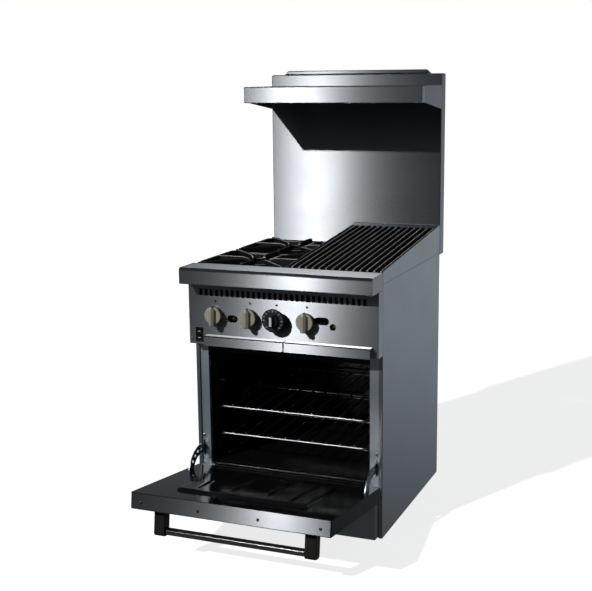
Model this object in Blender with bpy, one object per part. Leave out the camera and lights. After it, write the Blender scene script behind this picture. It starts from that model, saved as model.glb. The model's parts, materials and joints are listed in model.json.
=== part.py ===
"""A 24 inch commercial gas range: two open burners, a sloped radiant broiler and an oven with a drop-down door.

Metres, +Z up, +X to the right seen from the front, the front faces -Y.
The origin is the middle of the bottom face. The door stands open on its hinge stop.
"""

import math

import bmesh
import bpy
from mathutils import Matrix, Vector

# ---------------------------------------------------------------- overall sizes
WIDTH = 0.6096            # 24 in across the side panels
DEPTH = 0.630             # side panels, front edge to back edge
SIDE_TOP = 0.777          # top edge of the side panels
SHEET = 0.0015            # 1.5 mm stainless sheet
GAP = 0.0005              # clearance between two sheets that touch
HALF = WIDTH / 2.0
FRONT = -DEPTH / 2.0
BACK = DEPTH / 2.0

# ---------------------------------------------------------------- oven
OPENING_HALF = 0.2635     # oven opening, half width
OPENING_BOTTOM = 0.175
OPENING_TOP = 0.535
CAVITY_DEPTH = 0.564
FRAME_SETBACK = 0.005     # front frame behind the side panels' front edge
FRAME_BOTTOM = 0.118
FRAME_TOP = 0.5655
SIDE_FLANGE = 0.008
RACK_LEVELS = (0.262, 0.350, 0.438)
RACK_HALF = 0.240
RACK_FRONT = 0.038        # front rail of a rack behind the side panels' front edge
RACK_DEPTH = 0.514
RACK_WIRES = 10
RACK_PITCH = 0.0447
RAIL_RADIUS = 0.0035
WIRE_RADIUS = 0.0023
GUIDE_INNER = 0.2325      # how far a rack ledge reaches towards the middle

# ---------------------------------------------------------------- door
DOOR_OPEN_DEG = 82.5
PIVOT_Y = FRONT - 0.023
PIVOT_Z = 0.1484
DOOR_HALF = 0.3023
DOOR_THICK = 0.0484
DOOR_INNER = 0.0200       # inner face of the door from the pivot
DOOR_BELOW = 0.011
DOOR_ABOVE = 0.4104       # door above the pivot, when shut
BOSS_HALF = 0.203         # raised field pressed into the liner
BOSS_LOW = 0.0854
BOSS_HIGH = 0.3324
BOSS_RISE = 0.008
ARM_X = 0.2855
ARM_THICK = 0.003
ARM_INNER = 0.060
ARM_OUTER = 0.090
ARM_END_DEG = 120.0
SLOT_LOW = 0.193
SLOT_HIGH = 0.243
SLOT_WIDE = 0.0055
HANDLE_DOWN = 0.0549      # bar from the door's top edge
HANDLE_OUT = 0.066        # bar from the door's outer face
BAR_RADIUS = 0.011
BRACKET_X = 0.2302
BRACKET_WIDE = 0.034
BRACKET_HIGH = 0.032

# ---------------------------------------------------------------- kick panel
KICK_HALF = 0.2915
KICK_OUT = 0.0255
KICK_TOP = 0.112

# ---------------------------------------------------------------- control panel, rail and trays
PANEL_OUT = 0.038
PANEL_BOTTOM = 0.566
PANEL_TOP = 0.7600
LOUVRE_COUNT = 31
LOUVRE_PITCH = 0.0175
LOUVRE_WIDE = 0.010
LOUVRE_LOW = 0.7185
LOUVRE_HIGH = 0.7390
AXIS_Z = 0.662            # height of the knob axes
BURNER_KNOBS = (-0.2138, -0.0995)
THERMOSTAT_X = -0.0134
BROILER_KNOB = 0.0834
PILOT_SLOT_LEFT = (-0.1586, 0.6515, 0.035, 0.022)
PILOT_SLOT_RIGHT = (0.1291, 0.6645, 0.0475, 0.022)
PILOT_HOLE = (0.164, 0.6487, 0.010)
SWITCH_X = -0.271
SWITCH_Z = 0.5965
SWITCH_WIDE = 0.022
SWITCH_HIGH = 0.042
ROCKER_TILT_DEG = 7.0
RAIL_OUT = 0.098
RAIL_BOTTOM = 0.761
RAIL_TOP = 0.811
RAIL_NOSE = 0.009
LIP_OUT = 0.0644
LIP_LOW = 0.5687
LIP_HIGH = 0.5987
LIP_SPANS = ((-0.2438, 0.0155), (0.0180, 0.2868))
PAN_INSET = 0.008
PAN_LOW = 0.5745
PAN_HIGH = 0.5925
PAN_REACH = 0.540

# ---------------------------------------------------------------- cooktop
SECTION_EDGE = -0.003     # right edge of the open burner section
COOK_TOP = 0.7985
BURNER_X = -0.1515
BURNER_YS = (0.156, 0.456)
GRATE_TOP = 0.812
GRATE_LOW = 0.7862
GRATE_BAR = 0.012
RING_OUTER = 0.066
RING_INNER = 0.058
GRATE_SPANS = ((0.005, 0.3035), (0.3065, 0.605))

# ---------------------------------------------------------------- broiler
BROIL_WALL = 0.0025
SLOPE_FRONT = 0.812       # top of the broiler bars at the front
SLOPE_BACK = 0.866
BAR_FRONT = 0.007
BAR_BACK = 0.612
BAR_FIRST = 0.0176
BAR_PITCH = 0.0213
BARS_PER_GRATE = 7
BAR_WIDE = 0.009
BAR_DEEP = 0.016
LEDGE_TOP = 0.8725
LEDGE_FRONT = 0.6165

# ---------------------------------------------------------------- riser and shelf
RISER_THICK = 0.049
RISER_LOW = 0.7685
RISER_TOP = 1.3745
CAP_TOP = 1.388
CAP_HALF = 0.2567
SHELF_OUT = 0.2365
SHELF_LOW = 1.284
SHELF_TOP = 1.3365
SHELF_CORNER = 0.015
SHELF_WRAP = 0.032
SHELF_END_LOW = 1.2585


# ---------------------------------------------------------------- materials
def finish(name, colour, roughness, metallic):
    mat = bpy.data.materials.new(name)
    mat.use_nodes = True
    shader = mat.node_tree.nodes["Principled BSDF"]
    shader.inputs["Base Color"].default_value = (*colour, 1.0)
    shader.inputs["Roughness"].default_value = roughness
    shader.inputs["Metallic"].default_value = metallic
    return mat


FINISHES = {
    "stainless": ((0.56, 0.58, 0.60), 0.32, 1.0),
    "side_steel": ((0.20, 0.22, 0.24), 0.45, 0.8),
    "galvanised": ((0.42, 0.44, 0.46), 0.50, 0.9),
    "cast_iron": ((0.018, 0.018, 0.019), 0.62, 0.3),
    "enamel": ((0.012, 0.012, 0.013), 0.12, 0.0),
    "chrome": ((0.72, 0.73, 0.74), 0.15, 1.0),
    "cream_metal": ((0.46, 0.44, 0.37), 0.42, 0.4),
    "black_plastic": ((0.015, 0.016, 0.018), 0.38, 0.0),
    "brass": ((0.60, 0.42, 0.16), 0.35, 1.0),
    "bronze_black": ((0.030, 0.027, 0.023), 0.40, 0.5),
    "mineral_wool": ((0.62, 0.58, 0.42), 0.95, 0.0),
}


# ---------------------------------------------------------------- building blocks
def add_box(bm, low, high):
    middle = [(a + b) / 2.0 for a, b in zip(low, high)]
    size = [b - a for a, b in zip(low, high)]
    made = bmesh.ops.create_cube(bm, size=1.0)
    bmesh.ops.scale(bm, vec=size, verts=made["verts"])
    bmesh.ops.translate(bm, vec=middle, verts=made["verts"])
    return made["verts"]


def add_prism(bm, outline, axis, low, high):
    """A closed outline pushed along an axis. The outline's pairs are the other two axes, in x, y, z order."""
    def place(pair, along):
        spots = list(pair)
        spots.insert(axis, along)
        return Vector(spots)
    first = [bm.verts.new(place(p, low)) for p in outline]
    face = bm.faces.new(first)
    pushed = bmesh.ops.extrude_face_region(bm, geom=[face])
    moved = [g for g in pushed["geom"] if isinstance(g, bmesh.types.BMVert)]
    step = Vector((0.0, 0.0, 0.0))
    step[axis] = high - low
    bmesh.ops.translate(bm, vec=step, verts=moved)
    return first + moved


def add_rod(bm, start, end, radius, sides=12, end_radius=None):
    start = Vector(start)
    end = Vector(end)
    along = end - start
    turn = Vector((0.0, 0.0, 1.0)).rotation_difference(along.normalized()).to_matrix().to_4x4()
    made = bmesh.ops.create_cone(
        bm,
        cap_ends=True,
        segments=sides,
        radius1=radius,
        radius2=radius if end_radius is None else end_radius,
        depth=along.length,
    )
    bmesh.ops.transform(bm, matrix=Matrix.Translation((start + end) / 2.0) @ turn, verts=made["verts"])
    return made["verts"]


def add_turned(bm, profile, centre, axis, sides=24):
    """A closed (radius, along) profile that starts and ends on the axis, spun about it."""
    rings = []
    for radius, along in profile:
        ring = []
        if radius <= 0.0:
            spot = [0.0, 0.0]
            spot.insert(axis, along)
            ring.append(bm.verts.new(Vector(centre) + Vector(spot)))
        else:
            for i in range(sides):
                angle = 2.0 * math.pi * (i + 0.5) / sides
                spot = [radius * math.cos(angle), radius * math.sin(angle)]
                spot.insert(axis, along)
                ring.append(bm.verts.new(Vector(centre) + Vector(spot)))
        rings.append(ring)
    for one, two in zip(rings, rings[1:]):
        for i in range(sides):
            j = (i + 1) % sides
            if len(one) == 1:
                bm.faces.new((one[0], two[i], two[j]))
            elif len(two) == 1:
                bm.faces.new((one[i], one[j], two[0]))
            else:
                bm.faces.new((one[i], one[j], two[j], two[i]))
    return [v for ring in rings for v in ring]


def object_from(name, bm, smooth=False):
    bmesh.ops.recalc_face_normals(bm, faces=bm.faces)
    mesh = bpy.data.meshes.new(name)
    bm.to_mesh(mesh)
    bm.free()
    mesh.polygons.foreach_set("use_smooth", [smooth] * len(mesh.polygons))
    obj = bpy.data.objects.new(name, mesh)
    bpy.context.collection.objects.link(obj)
    return obj


def shape(make, *args, **named):
    bm = bmesh.new()
    make(bm, *args, **named)
    return bm


def boxes(spans):
    bm = bmesh.new()
    for low, high in spans:
        add_box(bm, low, high)
    return bm


def part(name, base, coat, joined=(), cut=(), added=(), smooth=False):
    """One sub-part: a base mesh, meshes joined to it, meshes cut from it, then later (kind, mesh) steps."""
    obj = object_from(name, base, smooth)
    obj.data.materials.append(finish(name + "_finish", *FINISHES[coat]))
    steps = [("UNION", tool) for tool in joined]
    steps += [("DIFFERENCE", tool) for tool in cut]
    steps += list(added)
    for i, (kind, tool) in enumerate(steps):
        helper = hidden(f"{name}_tool_{i + 1}", tool, smooth)
        combine(obj, helper, kind)
        HELPERS.setdefault(name, []).append(helper)
    return obj


def hidden(name, tool, smooth=False):
    helper = object_from(name, tool, smooth)
    helper.hide_render = True
    helper.display_type = "WIRE"
    return helper


def combine(obj, helper, kind):
    step = obj.modifiers.new(helper.name, "BOOLEAN")
    step.operation = kind
    step.solver = "EXACT"
    step.object = helper


HELPERS = {}


def arc(centre, radius, start, end, steps):
    """Points along a circular arc, angles in degrees."""
    points = []
    for i in range(steps + 1):
        angle = math.radians(start + (end - start) * i / steps)
        points.append((centre[0] + radius * math.cos(angle), centre[1] + radius * math.sin(angle)))
    return points


def obround(cx, cz, wide, high, steps=6):
    r = high / 2.0
    reach = wide / 2.0 - r
    right = arc((cx + reach, cz), r, -90.0, 90.0, steps)
    left = arc((cx - reach, cz), r, 90.0, 270.0, steps)
    return right + left


def on_pivot(obj, pivot):
    """Puts an object, built in shut-door coordinates, under an empty that carries the hinge angle."""
    obj.parent = pivot
    for helper in HELPERS.get(obj.name, []):
        helper.parent = pivot


# ---------------------------------------------------------------- cabinet
def cabinet():
    for side, name in ((-1.0, "side_panel_left"), (1.0, "side_panel_right")):
        outer = side * HALF
        inner = side * (HALF - SHEET)
        fold = side * (HALF - SIDE_FLANGE)
        back_fold = side * (HALF - 0.012)
        outline = [
            (outer, FRONT),
            (outer, BACK),
            (back_fold, BACK),
            (back_fold, BACK - SHEET),
            (inner, BACK - SHEET),
            (inner, FRONT + SHEET),
            (fold, FRONT + SHEET),
            (fold, FRONT),
        ]
        part(name, shape(add_prism, outline, 2, 0.0, SIDE_TOP), "side_steel")

    inside = HALF - SHEET - GAP
    back = BACK - SHEET - GAP
    pipe_hole = shape(add_rod, (0.281, back - 0.02, AXIS_Z), (0.281, back + 0.02, AXIS_Z), 0.016, 16)
    vents = boxes([
        ((-0.18 + 0.09 * i, back - 0.02, 0.10), (-0.12 + 0.09 * i, back + 0.02, 0.112))
        for i in range(4)
    ])
    part(
        "back_panel",
        shape(add_box, (-inside, back - SHEET, 0.004), (inside, back, 0.760)),
        "galvanised",
        cut=(pipe_hole, vents),
    )

    reach = BACK - 0.005
    hollow = shape(add_box, (-inside + 0.002, -reach + 0.002, 0.002), (inside - 0.002, reach - 0.002, 0.040))
    part(
        "base_pan",
        shape(add_box, (-inside, -reach, 0.0), (inside, reach, 0.025)),
        "galvanised",
        cut=(hollow,),
    )

    part(
        "kick_panel",
        shape(add_box, (-KICK_HALF, FRONT - KICK_OUT, 0.002), (KICK_HALF, FRONT + 0.003, KICK_TOP)),
        "side_steel",
        cut=(shape(
            add_box,
            (-KICK_HALF + SHEET, FRONT - KICK_OUT + SHEET, -0.010),
            (KICK_HALF - SHEET, FRONT + 0.010, KICK_TOP - SHEET),
        ),),
    )

    # front frame: a plate with the oven opening, its inward lip and the two hinge slots
    plate = FRONT + FRAME_SETBACK
    lip = shape(
        add_box,
        (-OPENING_HALF - SHEET, plate + 0.0005, OPENING_BOTTOM - SHEET),
        (OPENING_HALF + SHEET, plate + 0.015, OPENING_TOP + SHEET),
    )
    opening = shape(
        add_box,
        (-OPENING_HALF, plate - 0.01, OPENING_BOTTOM),
        (OPENING_HALF, plate + 0.03, OPENING_TOP),
    )
    slots = bmesh.new()
    for s in (-1.0, 1.0):
        x = s * ARM_X - SLOT_WIDE / 2.0
        add_box(slots, (x, plate - 0.01, SLOT_LOW), (x + SLOT_WIDE, plate + 0.012, SLOT_HIGH))
    part(
        "oven_front_frame",
        shape(add_box, (-inside, plate, FRAME_BOTTOM), (inside, plate + SHEET, FRAME_TOP)),
        "galvanised",
        joined=(lip,),
        cut=(opening, slots),
    )


# ---------------------------------------------------------------- oven
def oven():
    start = FRONT + FRAME_SETBACK + 0.016
    end = start + CAVITY_DEPTH
    outer = OPENING_HALF + SHEET
    part(
        "oven_liner",
        shape(add_box, (-outer, start, OPENING_BOTTOM - 0.003), (outer, end, OPENING_TOP + SHEET)),
        "enamel",
        cut=(shape(
            add_box,
            (-OPENING_HALF, start - 0.01, OPENING_BOTTOM - 0.02),
            (OPENING_HALF, end - SHEET, OPENING_TOP),
        ),),
    )
    slots = []
    for s in (-1.0, 1.0):
        for i in range(5):
            y = start + 0.075 + 0.095 * i
            x = s * 0.247
            low = (x - 0.005, y, OPENING_BOTTOM - 0.02)
            high = (x + 0.005, y + 0.06, OPENING_BOTTOM + 0.01)
            slots.append((low, high))
    part(
        "oven_floor",
        shape(
            add_box,
            (-OPENING_HALF + GAP, start + 0.001, OPENING_BOTTOM - SHEET),
            (OPENING_HALF - GAP, end - SHEET - GAP, OPENING_BOTTOM),
        ),
        "enamel",
        cut=(boxes(slots),),
    )
    part(
        "oven_burner",
        shape(
            add_turned,
            [
                (0.0, 0.045), (0.024, 0.045), (0.024, 0.060), (0.013, 0.095),
                (0.013, 0.125), (0.018, 0.150), (0.018, 0.520), (0.0, 0.520),
            ],
            (0.0, FRONT, 0.130), 1, 16,
        ),
        "cast_iron",
        smooth=True,
    )
    for s, name in ((-1.0, "rack_guide_left"), (1.0, "rack_guide_right")):
        wall = OPENING_HALF - GAP
        strips = []
        for y in (start + 0.030, start + 0.490):
            near = min(s * (wall - SHEET), s * wall)
            strips.append(((near, y, 0.200), (near + SHEET, y + 0.022, 0.480)))
        ledges = []
        for level in RACK_LEVELS:
            top = level - RAIL_RADIUS - GAP
            a = s * GUIDE_INNER
            b = s * (wall - 0.0003)
            ledges.append(((min(a, b), start + 0.022, top - SHEET), (max(a, b), start + 0.530, top)))
        bars = bmesh.new()
        add_box(bars, *ledges[0])
        part(
            name,
            bars,
            "chrome",
            joined=(boxes(strips), boxes(ledges[1:])),
        )
    for level, name in ((RACK_LEVELS[1], "oven_rack_upper"), (RACK_LEVELS[0], "oven_rack_lower")):
        rack(name, level)


def rack(name, level):
    front = FRONT + RACK_FRONT
    back = front + RACK_DEPTH
    rails = bmesh.new()
    for s in (-1.0, 1.0):
        add_rod(rails, (s * RACK_HALF, front, level), (s * RACK_HALF, back, level), RAIL_RADIUS, 8)
    cross = bmesh.new()
    for share in (0.0, 0.5, 1.0):
        y = front + RACK_DEPTH * share
        end = RACK_HALF + 0.001
        add_rod(cross, (-end, y, level), (end, y, level), RAIL_RADIUS * 0.97, 8)
    wires = bmesh.new()
    up = level + RAIL_RADIUS + WIRE_RADIUS * 0.55
    for i in range(RACK_WIRES):
        x = (i - (RACK_WIRES - 1) / 2.0) * RACK_PITCH
        add_rod(wires, (x, front - 0.0015, up), (x, back + 0.0015, up), WIRE_RADIUS, 6)
    part(name, cross, "chrome", joined=(rails, wires), smooth=True)


# ---------------------------------------------------------------- door, built shut about its pivot
def door():
    pivot = bpy.data.objects.new("door_pivot", None)
    bpy.context.collection.objects.link(pivot)
    pivot.location = (0.0, PIVOT_Y, PIVOT_Z)
    pivot.rotation_euler = (math.radians(DOOR_OPEN_DEG), 0.0, 0.0)
    outside = DOOR_INNER - DOOR_THICK
    pan_top = DOOR_INNER - 0.0018
    pan = part(
        "door_outer_panel",
        shape(add_box, (-DOOR_HALF, outside, -DOOR_BELOW), (DOOR_HALF, pan_top, DOOR_ABOVE)),
        "stainless",
        cut=(shape(
            add_box,
            (-DOOR_HALF + SHEET, outside + SHEET, -DOOR_BELOW + SHEET),
            (DOOR_HALF - SHEET, pan_top + 0.010, DOOR_ABOVE - SHEET),
        ),),
    )
    boss = shape(
        add_box,
        (-BOSS_HALF, pan_top + GAP + 0.0002, BOSS_LOW),
        (BOSS_HALF, DOOR_INNER + BOSS_RISE, BOSS_HIGH),
    )
    pocket = shape(
        add_box,
        (-BOSS_HALF + SHEET, pan_top - 0.010, BOSS_LOW + SHEET),
        (BOSS_HALF - SHEET, DOOR_INNER + BOSS_RISE - SHEET, BOSS_HIGH - SHEET),
    )
    arm_slots = boxes([
        ((s * ARM_X - SLOT_WIDE / 2.0, 0.0, 0.0520), (s * ARM_X + SLOT_WIDE / 2.0, 0.030, 0.0920))
        for s in (-1.0, 1.0)
    ])
    liner = part(
        "door_liner",
        shape(
            add_box,
            (-DOOR_HALF + 0.0003, pan_top + GAP, -DOOR_BELOW + 0.0003),
            (DOOR_HALF - 0.0003, DOOR_INNER, DOOR_ABOVE - 0.0003),
        ),
        "enamel",
        joined=(boss,),
        cut=(pocket, arm_slots),
    )
    wool = part(
        "door_insulation",
        shape(
            add_box,
            (-0.276, outside + SHEET + GAP, 0.004),
            (0.276, pan_top - 0.004, DOOR_ABOVE - 0.006),
        ),
        "mineral_wool",
    )
    moved = [pan, liner, wool]
    bar_y = outside - HANDLE_OUT
    bar_z = DOOR_ABOVE - HANDLE_DOWN
    reach = BRACKET_X - BRACKET_WIDE / 2.0 - GAP
    moved.append(part(
        "handle_bar",
        shape(add_rod, (-reach, bar_y, bar_z), (reach, bar_y, bar_z), BAR_RADIUS, 20),
        "chrome",
        smooth=True,
    ))
    for s, name in ((-1.0, "handle_bracket_left"), (1.0, "handle_bracket_right")):
        low = bar_z - BRACKET_HIGH / 2.0
        high = bar_z + BRACKET_HIGH / 2.0
        root = outside - GAP
        tip = bar_y - BAR_RADIUS - 0.003
        outline = [
            (root, low - 0.004),
            (root, high + 0.004),
            (root - 0.010, high),
            (tip + 0.006, high),
            (tip, high - 0.006),
            (tip, low + 0.006),
            (tip + 0.006, low),
            (root - 0.010, low),
        ]
        x = s * BRACKET_X
        moved.append(part(
            name,
            shape(add_prism, outline, 0, x - BRACKET_WIDE / 2.0, x + BRACKET_WIDE / 2.0),
            "bronze_black",
        ))
    for s, name in ((-1.0, "hinge_arm_left"), (1.0, "hinge_arm_right")):
        x = s * ARM_X
        outline = arc((0.0, 0.0), ARM_OUTER, 86.0, 90.0 - ARM_END_DEG, 14)
        outline += arc((0.0, 0.0), ARM_INNER, 90.0 - ARM_END_DEG, 86.0, 14)
        foot = [(outside + 0.0025, 0.050), (outside + 0.0025, 0.100), (0.014, 0.100), (0.014, 0.050)]
        holes = bmesh.new()
        for a in (34.0, 50.0, 66.0, 82.0):
            r = (ARM_INNER + ARM_OUTER) / 2.0
            y = r * math.sin(math.radians(a))
            z = r * math.cos(math.radians(a))
            add_rod(holes, (x - 0.02, y, z), (x + 0.02, y, z), 0.0055, 10)
        end = math.radians(ARM_END_DEG - 6.0)
        r = (ARM_INNER + ARM_OUTER) / 2.0
        lug_y = r * math.sin(end)
        lug_z = r * math.cos(end)
        near = x - ARM_THICK / 2.0 + 0.0001
        foot_plate = shape(add_prism, foot, 0, near, near + ARM_THICK - 0.0002)
        lug = shape(add_rod, (x - 0.0055, lug_y, lug_z), (x + 0.0055, lug_y, lug_z), 0.006, 12)
        moved.append(part(
            name,
            shape(add_prism, outline, 0, x - ARM_THICK / 2.0, x + ARM_THICK / 2.0),
            "galvanised",
            joined=(foot_plate, lug),
            cut=(holes,),
        ))
    for obj in moved:
        on_pivot(obj, pivot)


# ---------------------------------------------------------------- control panel, rail, trays
def controls():
    face = FRONT - PANEL_OUT
    shell = shape(add_box, (-HALF, face, PANEL_BOTTOM), (HALF, FRONT - GAP, PANEL_TOP))
    hollow = shape(
        add_box,
        (-HALF + SHEET, face + SHEET, PANEL_BOTTOM + SHEET),
        (HALF - SHEET, FRONT + 0.02, PANEL_TOP - SHEET),
    )
    louvres = boxes([
        (
            ((i - (LOUVRE_COUNT - 1) / 2.0) * LOUVRE_PITCH - LOUVRE_WIDE / 2.0, face - 0.01, LOUVRE_LOW),
            ((i - (LOUVRE_COUNT - 1) / 2.0) * LOUVRE_PITCH + LOUVRE_WIDE / 2.0, face + 0.01, LOUVRE_HIGH),
        )
        for i in range(LOUVRE_COUNT)
    ])
    holes = bmesh.new()
    for x in (*BURNER_KNOBS, BROILER_KNOB, THERMOSTAT_X):
        add_rod(holes, (x, face - 0.01, AXIS_Z), (x, face + 0.01, AXIS_Z), 0.0075, 12)
    add_rod(
        holes,
        (PILOT_HOLE[0], face - 0.01, PILOT_HOLE[1]),
        (PILOT_HOLE[0], face + 0.01, PILOT_HOLE[1]),
        PILOT_HOLE[2], 16,
    )
    for slot in (PILOT_SLOT_LEFT, PILOT_SLOT_RIGHT):
        add_prism(holes, obround(*slot), 1, face - 0.01, face + 0.01)
    add_box(
        holes,
        (SWITCH_X - SWITCH_WIDE / 2.0 + 0.0005, face - 0.01, SWITCH_Z - SWITCH_HIGH / 2.0 + 0.0005),
        (SWITCH_X + SWITCH_WIDE / 2.0 - 0.0005, face + 0.01, SWITCH_Z + SWITCH_HIGH / 2.0 - 0.0005),
    )
    for low, high in LIP_SPANS:
        add_box(
            holes,
            (low + PAN_INSET - 0.002, face - 0.01, PAN_LOW - 0.002),
            (high - PAN_INSET + 0.002, face + 0.01, PAN_HIGH + 0.002),
        )
    part("control_panel", shell, "stainless", cut=(hollow, louvres, holes))

    # front rail: a channel with a rounded nose, closed at both ends
    nose = arc((FRONT - RAIL_OUT + RAIL_NOSE, RAIL_TOP - RAIL_NOSE), RAIL_NOSE, 180.0, 90.0, 6)
    heel = arc((FRONT - RAIL_OUT + 0.003, RAIL_BOTTOM + 0.003), 0.003, 270.0, 180.0, 2)
    inner_nose = arc((FRONT - RAIL_OUT + RAIL_NOSE, RAIL_TOP - RAIL_NOSE), RAIL_NOSE - SHEET, 90.0, 180.0, 6)
    rear = FRONT - 0.001
    outline = [(FRONT - 0.040, RAIL_BOTTOM)] + heel + nose + [(rear, RAIL_TOP)]
    outline += [(rear, RAIL_TOP - SHEET)] + inner_nose
    outline += [(FRONT - RAIL_OUT + SHEET, RAIL_BOTTOM + SHEET), (FRONT - 0.040, RAIL_BOTTOM + SHEET)]
    end_outline = [(rear, RAIL_BOTTOM)] + heel + nose + [(rear, RAIL_TOP)]
    ends = bmesh.new()
    add_prism(ends, end_outline, 0, -HALF, -HALF + SHEET)
    add_prism(ends, end_outline, 0, HALF - SHEET, HALF)
    part(
        "front_rail",
        shape(add_prism, outline, 0, -HALF + 0.0005, HALF - 0.0005),
        "stainless",
        joined=(ends,),
    )

    for (low, high), name in zip(LIP_SPANS, ("crumb_tray_left", "crumb_tray_right")):
        lip_front = FRONT - LIP_OUT
        lip_back = face - 0.0015
        lip = shape(add_box, (low, lip_front, LIP_LOW), (high, lip_back, LIP_HIGH))
        lip_hollow = shape(
            add_box,
            (low + SHEET, lip_front + SHEET, LIP_LOW - 0.01),
            (high - SHEET, lip_back + 0.01, LIP_HIGH - SHEET),
        )
        a = low + PAN_INSET
        b = high - PAN_INSET
        pan = shape(add_box, (a, lip_front + 0.0007, PAN_LOW), (b, FRONT + PAN_REACH, PAN_HIGH))
        bowl = shape(
            add_box,
            (a + SHEET, lip_front + SHEET + 0.0007, PAN_LOW + SHEET),
            (b - SHEET, FRONT + PAN_REACH - SHEET, PAN_HIGH + 0.0008),
        )
        part(
            name,
            lip,
            "stainless",
            cut=(lip_hollow,),
            added=(("UNION", pan), ("DIFFERENCE", bowl)),
        )


def knob(name, x, coat):
    """A lever knob: a deep round skirt with a pointed grip bar across it, bored for the valve stem."""
    face = FRONT - PANEL_OUT
    skirt = [
        (0.0, -0.004), (0.0235, -0.004), (0.0250, -0.008),
        (0.0275, -0.024), (0.0265, -0.026), (0.0, -0.026),
    ]
    grip = [
        (x - 0.0085, AXIS_Z - 0.0300),
        (x + 0.0085, AXIS_Z - 0.0300),
        (x + 0.0100, AXIS_Z + 0.0200),
        (x, AXIS_Z + 0.0310),
        (x - 0.0100, AXIS_Z + 0.0200),
    ]
    obj = part(
        name,
        shape(add_turned, skirt, (x, face, AXIS_Z), 1, 24),
        coat,
        joined=(shape(add_prism, grip, 1, face - 0.040, face - 0.022),),
        cut=(shape(add_rod, (x, face + 0.005, AXIS_Z), (x, face - 0.018, AXIS_Z), 0.0047, 12),),
        smooth=True,
    )
    centre_on(obj, (x, face, AXIS_Z))
    return obj


def centre_on(obj, spot):
    """Moves an object's origin to a point on its joint axis, leaving the shape where it is."""
    spot = Vector(spot)
    obj.data.transform(Matrix.Translation(-spot))
    obj.location = spot


def knobs():
    face = FRONT - PANEL_OUT
    knob("burner_knob_front", BURNER_KNOBS[0], "cream_metal")
    knob("burner_knob_rear", BURNER_KNOBS[1], "cream_metal")
    knob("broiler_knob", BROILER_KNOB, "cream_metal")
    x = THERMOSTAT_X
    dial = [
        (0.0, -0.004), (0.0250, -0.004), (0.0280, -0.024), (0.0350, -0.026),
        (0.0358, -0.028), (0.0350, -0.030), (0.0200, -0.032), (0.0185, -0.040), (0.0, -0.040),
    ]
    grip = obround(x, AXIS_Z, 0.030, 0.013, 5)
    upright = [(x + (b - AXIS_Z), AXIS_Z + (a - x)) for a, b in grip]
    obj = part(
        "thermostat_knob",
        shape(add_turned, dial, (x, face, AXIS_Z), 1, 28),
        "black_plastic",
        joined=(shape(add_prism, upright, 1, face - 0.050, face - 0.038),),
        cut=(shape(add_rod, (x, face + 0.005, AXIS_Z), (x, face - 0.018, AXIS_Z), 0.0047, 12),),
        smooth=True,
    )
    centre_on(obj, (x, face, AXIS_Z))


def gas_train():
    face = FRONT - PANEL_OUT
    main_y = FRONT + 0.0205
    part(
        "gas_manifold",
        shape(add_rod, (-0.262, main_y, AXIS_Z), (0.2655, main_y, AXIS_Z), 0.0105, 16),
        "galvanised",
        smooth=True,
    )
    part(
        "gas_inlet_pipe",
        shape(add_rod, (0.281, main_y - 0.0125, AXIS_Z), (0.281, BACK + 0.022, AXIS_Z), 0.0105, 16),
        "galvanised",
        joined=(
            shape(add_rod, (0.281, main_y, AXIS_Z), (0.2665, main_y, AXIS_Z), 0.0125, 12),
            shape(add_rod, (0.281, BACK + 0.004, AXIS_Z), (0.281, BACK + 0.0225, AXIS_Z), 0.0140, 6),
        ),
        cut=(shape(add_rod, (0.281, BACK + 0.030, AXIS_Z), (0.281, BACK - 0.010, AXIS_Z), 0.0080, 16),),
        smooth=True,
    )
    names = ("burner_valve_front", "burner_valve_rear", "broiler_valve")
    for x, name in zip((*BURNER_KNOBS, BROILER_KNOB), names):
        body = shape(add_rod, (x, FRONT - 0.030, AXIS_Z), (x, FRONT + 0.0092, AXIS_Z), 0.0120, 12)
        stem = shape(add_rod, (x, face - 0.016, AXIS_Z), (x, FRONT - 0.028, AXIS_Z), 0.0040, 10)
        neck = (x, FRONT - 0.012, AXIS_Z + 0.008)
        orifice = shape(add_rod, neck, (x, FRONT - 0.012, AXIS_Z + 0.026), 0.0060, 6)
        part(name, body, "brass", joined=(stem, orifice), smooth=True)
    x = THERMOSTAT_X
    stem = shape(add_rod, (x, face - 0.016, AXIS_Z), (x, FRONT - 0.028, AXIS_Z), 0.0040, 10)
    part(
        "thermostat_body",
        shape(add_box, (x - 0.022, FRONT - 0.030, AXIS_Z - 0.026), (x + 0.022, FRONT + 0.0092, AXIS_Z + 0.026)),
        "galvanised",
        joined=(stem,),
    )
    spots = ((PILOT_SLOT_LEFT[0], PILOT_SLOT_LEFT[1]), (PILOT_HOLE[0], PILOT_HOLE[1]))
    for (x, z), name in zip(spots, ("pilot_valve_left", "pilot_valve_right")):
        body = shape(add_rod, (x, FRONT - 0.020, z), (x, FRONT + 0.0075, z), 0.0065, 8)
        screw = shape(add_rod, (x, FRONT - 0.030, z), (x, FRONT - 0.018, z), 0.0040, 10)
        part(name, body, "brass", joined=(screw,), smooth=True)


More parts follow.
